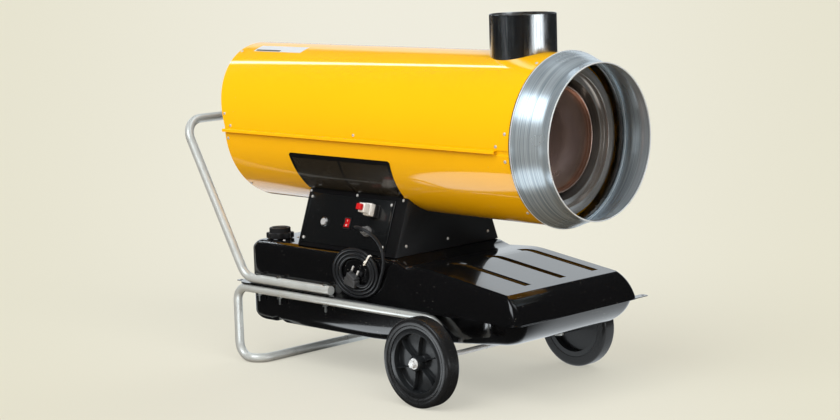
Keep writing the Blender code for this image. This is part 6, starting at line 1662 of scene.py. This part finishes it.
# The bolts are plain hexagon bolts and nuts, zinc plated and turned a little dull.
head_seat_z = 0.2219
nut_top_z = 0.1759
tail_z = 0.1572
bolt_outline = [(0, head_seat_z + 0.0040), (0.0050, head_seat_z + 0.0040), (0.0060, head_seat_z + 0.0034),
                (0.0062, head_seat_z + 0.0003), (0.0031, head_seat_z + 0.0003), (0.0031, nut_top_z),
                (0.0066, nut_top_z), (0.0066, nut_top_z - 0.0044), (0.0056, nut_top_z - 0.0050),
                (0.0031, nut_top_z - 0.0050), (0.0030, tail_z + 0.0006), (0.0024, tail_z), (0, tail_z)]
bolt_zinc = surface("bolt_zinc", (0.55, 0.54, 0.50), 0.34, metallic=1.0, tone=0.2, tone_scale=90.0,
                    spread=0.2)
for number in range(1, 7):
    low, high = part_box(f"frame_bolt_{number}")
    bolt = bmesh.new()
    add_turned(bolt, bolt_outline, Matrix.Translation(((low[0] + high[0]) / 2, (low[1] + high[1]) / 2, 0)), 6)
    hand_over(f"hex_bolt_{number}", close_mesh(bolt), bolt_zinc, f"frame_bolt_{number}")


# Wheels: black rubber tyres on moulded hubs with six curved ribs. They run on a steel axle
# between washers and nuts.

axle_x = 0.295
wheel_radius = 0.1014
wheel_outer = 0.2864
wheel_inner = 0.2424
tyre_inner = 0.0785
tyre_round = 0.0075
rim_inner = 0.066
rim_inset = 0.004
web_thickness = 0.004
boss_radius = 0.017
boss_inner_y = 0.2096
rib_count = 6
rib_turn_share = 0.25
rib_thickness = 0.0028
rib_depth = 0.012
rib_lean = math.radians(10)
washer_radius = 0.0125
washer_thickness = 0.002
nut_radius = 0.0095
nut_height = 0.008
axle_radius = 0.006
axle_half = 0.297
axle_round = 0.0012
tyre_rubber = surface("tyre_rubber", (0.012, 0.0125, 0.0135), 0.26, tone=0.18, tone_scale=22.0,
                      grain_depth=0.00008, spread=0.2, dust=0.3, dust_colour=(0.20, 0.19, 0.17))
hub_plastic = surface("hub_plastic", (0.011, 0.0125, 0.014), 0.34, coat=0.3, tone=0.12, grain=1100.0,
                      grain_depth=0.00005, spread=0.12, dust=0.25, dust_colour=(0.22, 0.21, 0.19))
axle_steel = surface("axle_steel", (0.82, 0.84, 0.85), 0.30, metallic=0.5, tone=0.12, tone_scale=60.0,
                     spread=0.2)

ribs = geometry_tree("wheel_ribs", {"Count": "Int", "Turn Share": "Float"})
base = ribs.given
steps = ribs.add("GeometryNodeMeshLine", {"Count": base["Count"], "Offset": (0, 0, 0)}).outputs[0]
share = ribs.plus(ribs.add("GeometryNodeInputIndex").outputs[0], base["Turn Share"])
turn = ribs.times(ribs.maths("DIVIDE", share, base["Count"]), math.tau)
turn = ribs.add("ShaderNodeCombineXYZ", {"Z": turn}).outputs[0]
turn = ribs.add("FunctionNodeEulerToRotation", {0: turn}).outputs[0]
dress(ribs, ribs.add("GeometryNodeInstanceOnPoints", {
    "Points": steps, "Instance": base["Geometry"], "Rotation": turn}).outputs[0])

web_top = (wheel_outer + wheel_inner) / 2 + web_thickness / 2
crest_z = web_top + rib_depth
half_rib = rib_thickness / 2
half_section = [(half_rib, web_top - 0.001), (half_rib - 0.0006, crest_z - 0.0008),
                (half_rib - 0.0013, crest_z)]
section = half_section + [(-aside, z) for aside, z in reversed(half_section)]
rows = []
for k in range(13):
    share = k / 12
    radius = boss_radius - 0.0012 + (rim_inner - boss_radius + 0.0024) * share
    swing = rib_lean * math.sin(math.pi * share) / 2
    rows.append([(radius * math.cos(swing) - aside * math.sin(swing),
                  radius * math.sin(swing) + aside * math.cos(swing), z) for aside, z in section])
one_rib = bmesh.new()
skin(one_rib, rows, caps=True)
bmesh.ops.recalc_face_normals(one_rib, faces=one_rib.faces)
rib_mesh = made_by(ribs, mesh_of(one_rib), {"Count": rib_count, "Turn Share": rib_turn_share,
                                            "Material": hub_plastic}, 40)

tyre_loop = [(tyre_inner - 0.0005, wheel_outer - 0.0042), (tyre_inner, wheel_outer - 0.0030),
             (tyre_inner + 0.0050, wheel_outer - 0.0021), (tyre_inner + 0.0060, wheel_outer - 0.0028),
             (tyre_inner + 0.0070, wheel_outer - 0.0020)]
tyre_loop += arc(tyre_round, quarter, 0, 8, (wheel_radius - tyre_round, wheel_outer - tyre_round - 0.0020))
tyre_loop += arc(tyre_round, 0, -quarter, 8, (wheel_radius - tyre_round, wheel_inner + tyre_round + 0.0020))
tyre_loop += [(tyre_inner, wheel_inner + 0.0030), (tyre_inner - 0.0005, wheel_inner + 0.0042)]
hub_loop = [(tyre_inner - 0.0008, wheel_outer - 0.0046), (tyre_inner - 0.0008, wheel_inner + rim_inset),
            (rim_inner, wheel_inner + rim_inset), (rim_inner - 0.0004, web_top - web_thickness),
            (boss_radius, web_top - web_thickness), (boss_radius - 0.0006, boss_inner_y),
            (axle_radius + 0.0006, boss_inner_y), (axle_radius + 0.0006, wheel_outer),
            (boss_radius - 0.0016, wheel_outer), (boss_radius - 0.0005, wheel_outer - 0.0004),
            (boss_radius, wheel_outer - 0.0014), (boss_radius + 0.0004, web_top + 0.0010),
            (boss_radius + 0.0014, web_top), (rim_inner - 0.0014, web_top),
            (rim_inner - 0.0004, web_top + 0.0010), (rim_inner, wheel_outer - rim_inset - 0.0010),
            (rim_inner + 0.0008, wheel_outer - rim_inset), (tyre_inner - 0.0022, wheel_outer - rim_inset)]
bore = axle_radius + 0.0003
nut_end = washer_thickness + nut_height
washer_loop = [(bore, 0), (washer_radius - 0.0003, 0), (washer_radius, 0.0003),
               (washer_radius, washer_thickness - 0.0004), (washer_radius - 0.0004, washer_thickness),
               (bore, washer_thickness)]
nut_loop = [(bore, washer_thickness - 0.0001), (nut_radius, washer_thickness - 0.0001),
            (nut_radius, nut_end - 0.0016), (nut_radius - 0.0014, nut_end), (bore, nut_end)]
for label, side in (("right", -1), ("left", 1)):
    at_wheel = frame_of((0, side, 0), (axle_x, 0, wheel_radius))
    hand_over(f"tyre_{label}", spun_sheet([tyre_loop], tyre_rubber, at_wheel), None, f"wheel_{label}_tyre",
              f"{label}_wheel")
    own_ribs = rib_mesh.copy()
    own_ribs.transform(at_wheel)
    hub = bmesh.new()
    hub.from_mesh(spun_sheet([hub_loop], hub_plastic, at_wheel, 96))
    hub.from_mesh(own_ribs)
    hand_over(f"hub_{label}", shaded(mesh_of(hub), 40), hub_plastic, f"wheel_{label}_hub",
              f"{label}_wheel")
    nut = bmesh.new()
    seat = moved(at_wheel, z=wheel_outer + 0.0003)
    add_turned(nut, washer_loop, seat, closed_loop=True)
    add_turned(nut, nut_loop, seat, 6, closed_loop=True)
    hand_over(f"axle_nut_and_washer_{label}", close_mesh(nut), axle_steel, f"axle_nut_{label}")
axle = bmesh.new()
axle_outline = [(0, -axle_half), (axle_radius - axle_round, -axle_half),
                (axle_radius, axle_round - axle_half), (axle_radius, axle_half - axle_round),
                (axle_radius - axle_round, axle_half), (0, axle_half)]
add_turned(axle, axle_outline, frame_of((0, 1, 0), (axle_x, 0, wheel_radius)), 40)
hand_over("axle_bar", close_mesh(axle), axle_steel, "axle")


# Inner pieces keep their solids and get their finishes here: the fan, the motor and the
# burner behind the guard, and the oil filter and electrics inside the control housing.

for node, finish_name, colour, roughness, settings in (
        ("fan_impeller", "fan_blade_metal", (0.58, 0.61, 0.63), 0.34,
         {"metallic": 1.0, "tone": 0.14, "tone_scale": 24.0, "spread": 0.25}),
        ("burner_fan", "burner_fan_metal", (0.55, 0.58, 0.60), 0.38,
         {"metallic": 1.0, "tone": 0.14, "tone_scale": 30.0, "spread": 0.25}),
        ("motor_bracket", "bracket_metal", (0.56, 0.59, 0.62), 0.36,
         {"metallic": 1.0, "tone": 0.15, "tone_scale": 26.0, "spread": 0.25}),
        ("component_tray", "tray_metal", (0.56, 0.59, 0.62), 0.38,
         {"metallic": 1.0, "tone": 0.15, "tone_scale": 26.0, "spread": 0.25}),
        ("motor_shaft", "shaft_steel", (0.62, 0.62, 0.62), 0.22,
         {"metallic": 1.0, "tone": 0.08, "spread": 0.15}),
        ("fan_motor", "motor_enamel", (0.075, 0.08, 0.088), 0.44,
         {"tone": 0.16, "tone_scale": 20.0, "grain": 700.0, "grain_depth": 0.00012}),
        ("burner_housing", "burner_enamel", (0.065, 0.07, 0.078), 0.48,
         {"tone": 0.18, "tone_scale": 18.0, "grain": 600.0, "grain_depth": 0.00012}),
        ("burner_tube", "burner_tube_steel", (0.30, 0.22, 0.17), 0.42,
         {"metallic": 1.0, "tone": 0.3, "tone_scale": 20.0, "spread": 0.25}),
        ("flame_disc", "flame_disc_steel", (0.26, 0.20, 0.17), 0.45,
         {"metallic": 1.0, "tone": 0.3, "tone_scale": 60.0, "spread": 0.2}),
        ("ignition_electrodes", "electrode_ceramic", (0.78, 0.74, 0.66), 0.32,
         {"coat": 0.4, "tone": 0.08, "tone_scale": 70.0}),
        ("fuel_nozzle", "nozzle_brass", (0.72, 0.50, 0.22), 0.28, {"metallic": 1.0, "tone_scale": 90.0}),
        ("fuel_pump", "pump_casting", (0.36, 0.36, 0.36), 0.5,
         {"metallic": 0.9, "tone": 0.16, "tone_scale": 50.0, "grain": 500.0, "grain_depth": 0.0002,
          "spread": 0.2}),
        ("fuel_hose", "hose_rubber", (0.02, 0.02, 0.02), 0.55,
         {"tone": 0.14, "grain": 800.0, "grain_depth": 0.00006}),
        ("suction_pipe", "pipe_copper", (0.66, 0.33, 0.20), 0.28,
         {"metallic": 1.0, "tone": 0.16, "tone_scale": 40.0, "spread": 0.25}),
        ("fuel_filter", "filter_zinc", (0.60, 0.60, 0.58), 0.34,
         {"metallic": 1.0, "tone": 0.14, "tone_scale": 50.0, "spread": 0.2}),
        ("ignition_transformer", "transformer_enamel", (0.05, 0.052, 0.056), 0.42,
         {"tone": 0.14, "tone_scale": 30.0, "grain_depth": 0.0001}),
        ("burner_control", "control_box_plastic", (0.20, 0.21, 0.22), 0.42, {"grain_depth": 0.00008}),
        ("drain_plug", "drain_plug_zinc", (0.52, 0.51, 0.48), 0.38,
         {"metallic": 1.0, "tone": 0.18, "tone_scale": 70.0, "spread": 0.2})):
    material = surface(finish_name, colour, roughness, **settings)
    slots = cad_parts[node].data.materials
    if len(slots) == 0:
        slots.append(material)
    for i in range(len(slots)):
        slots[i] = material
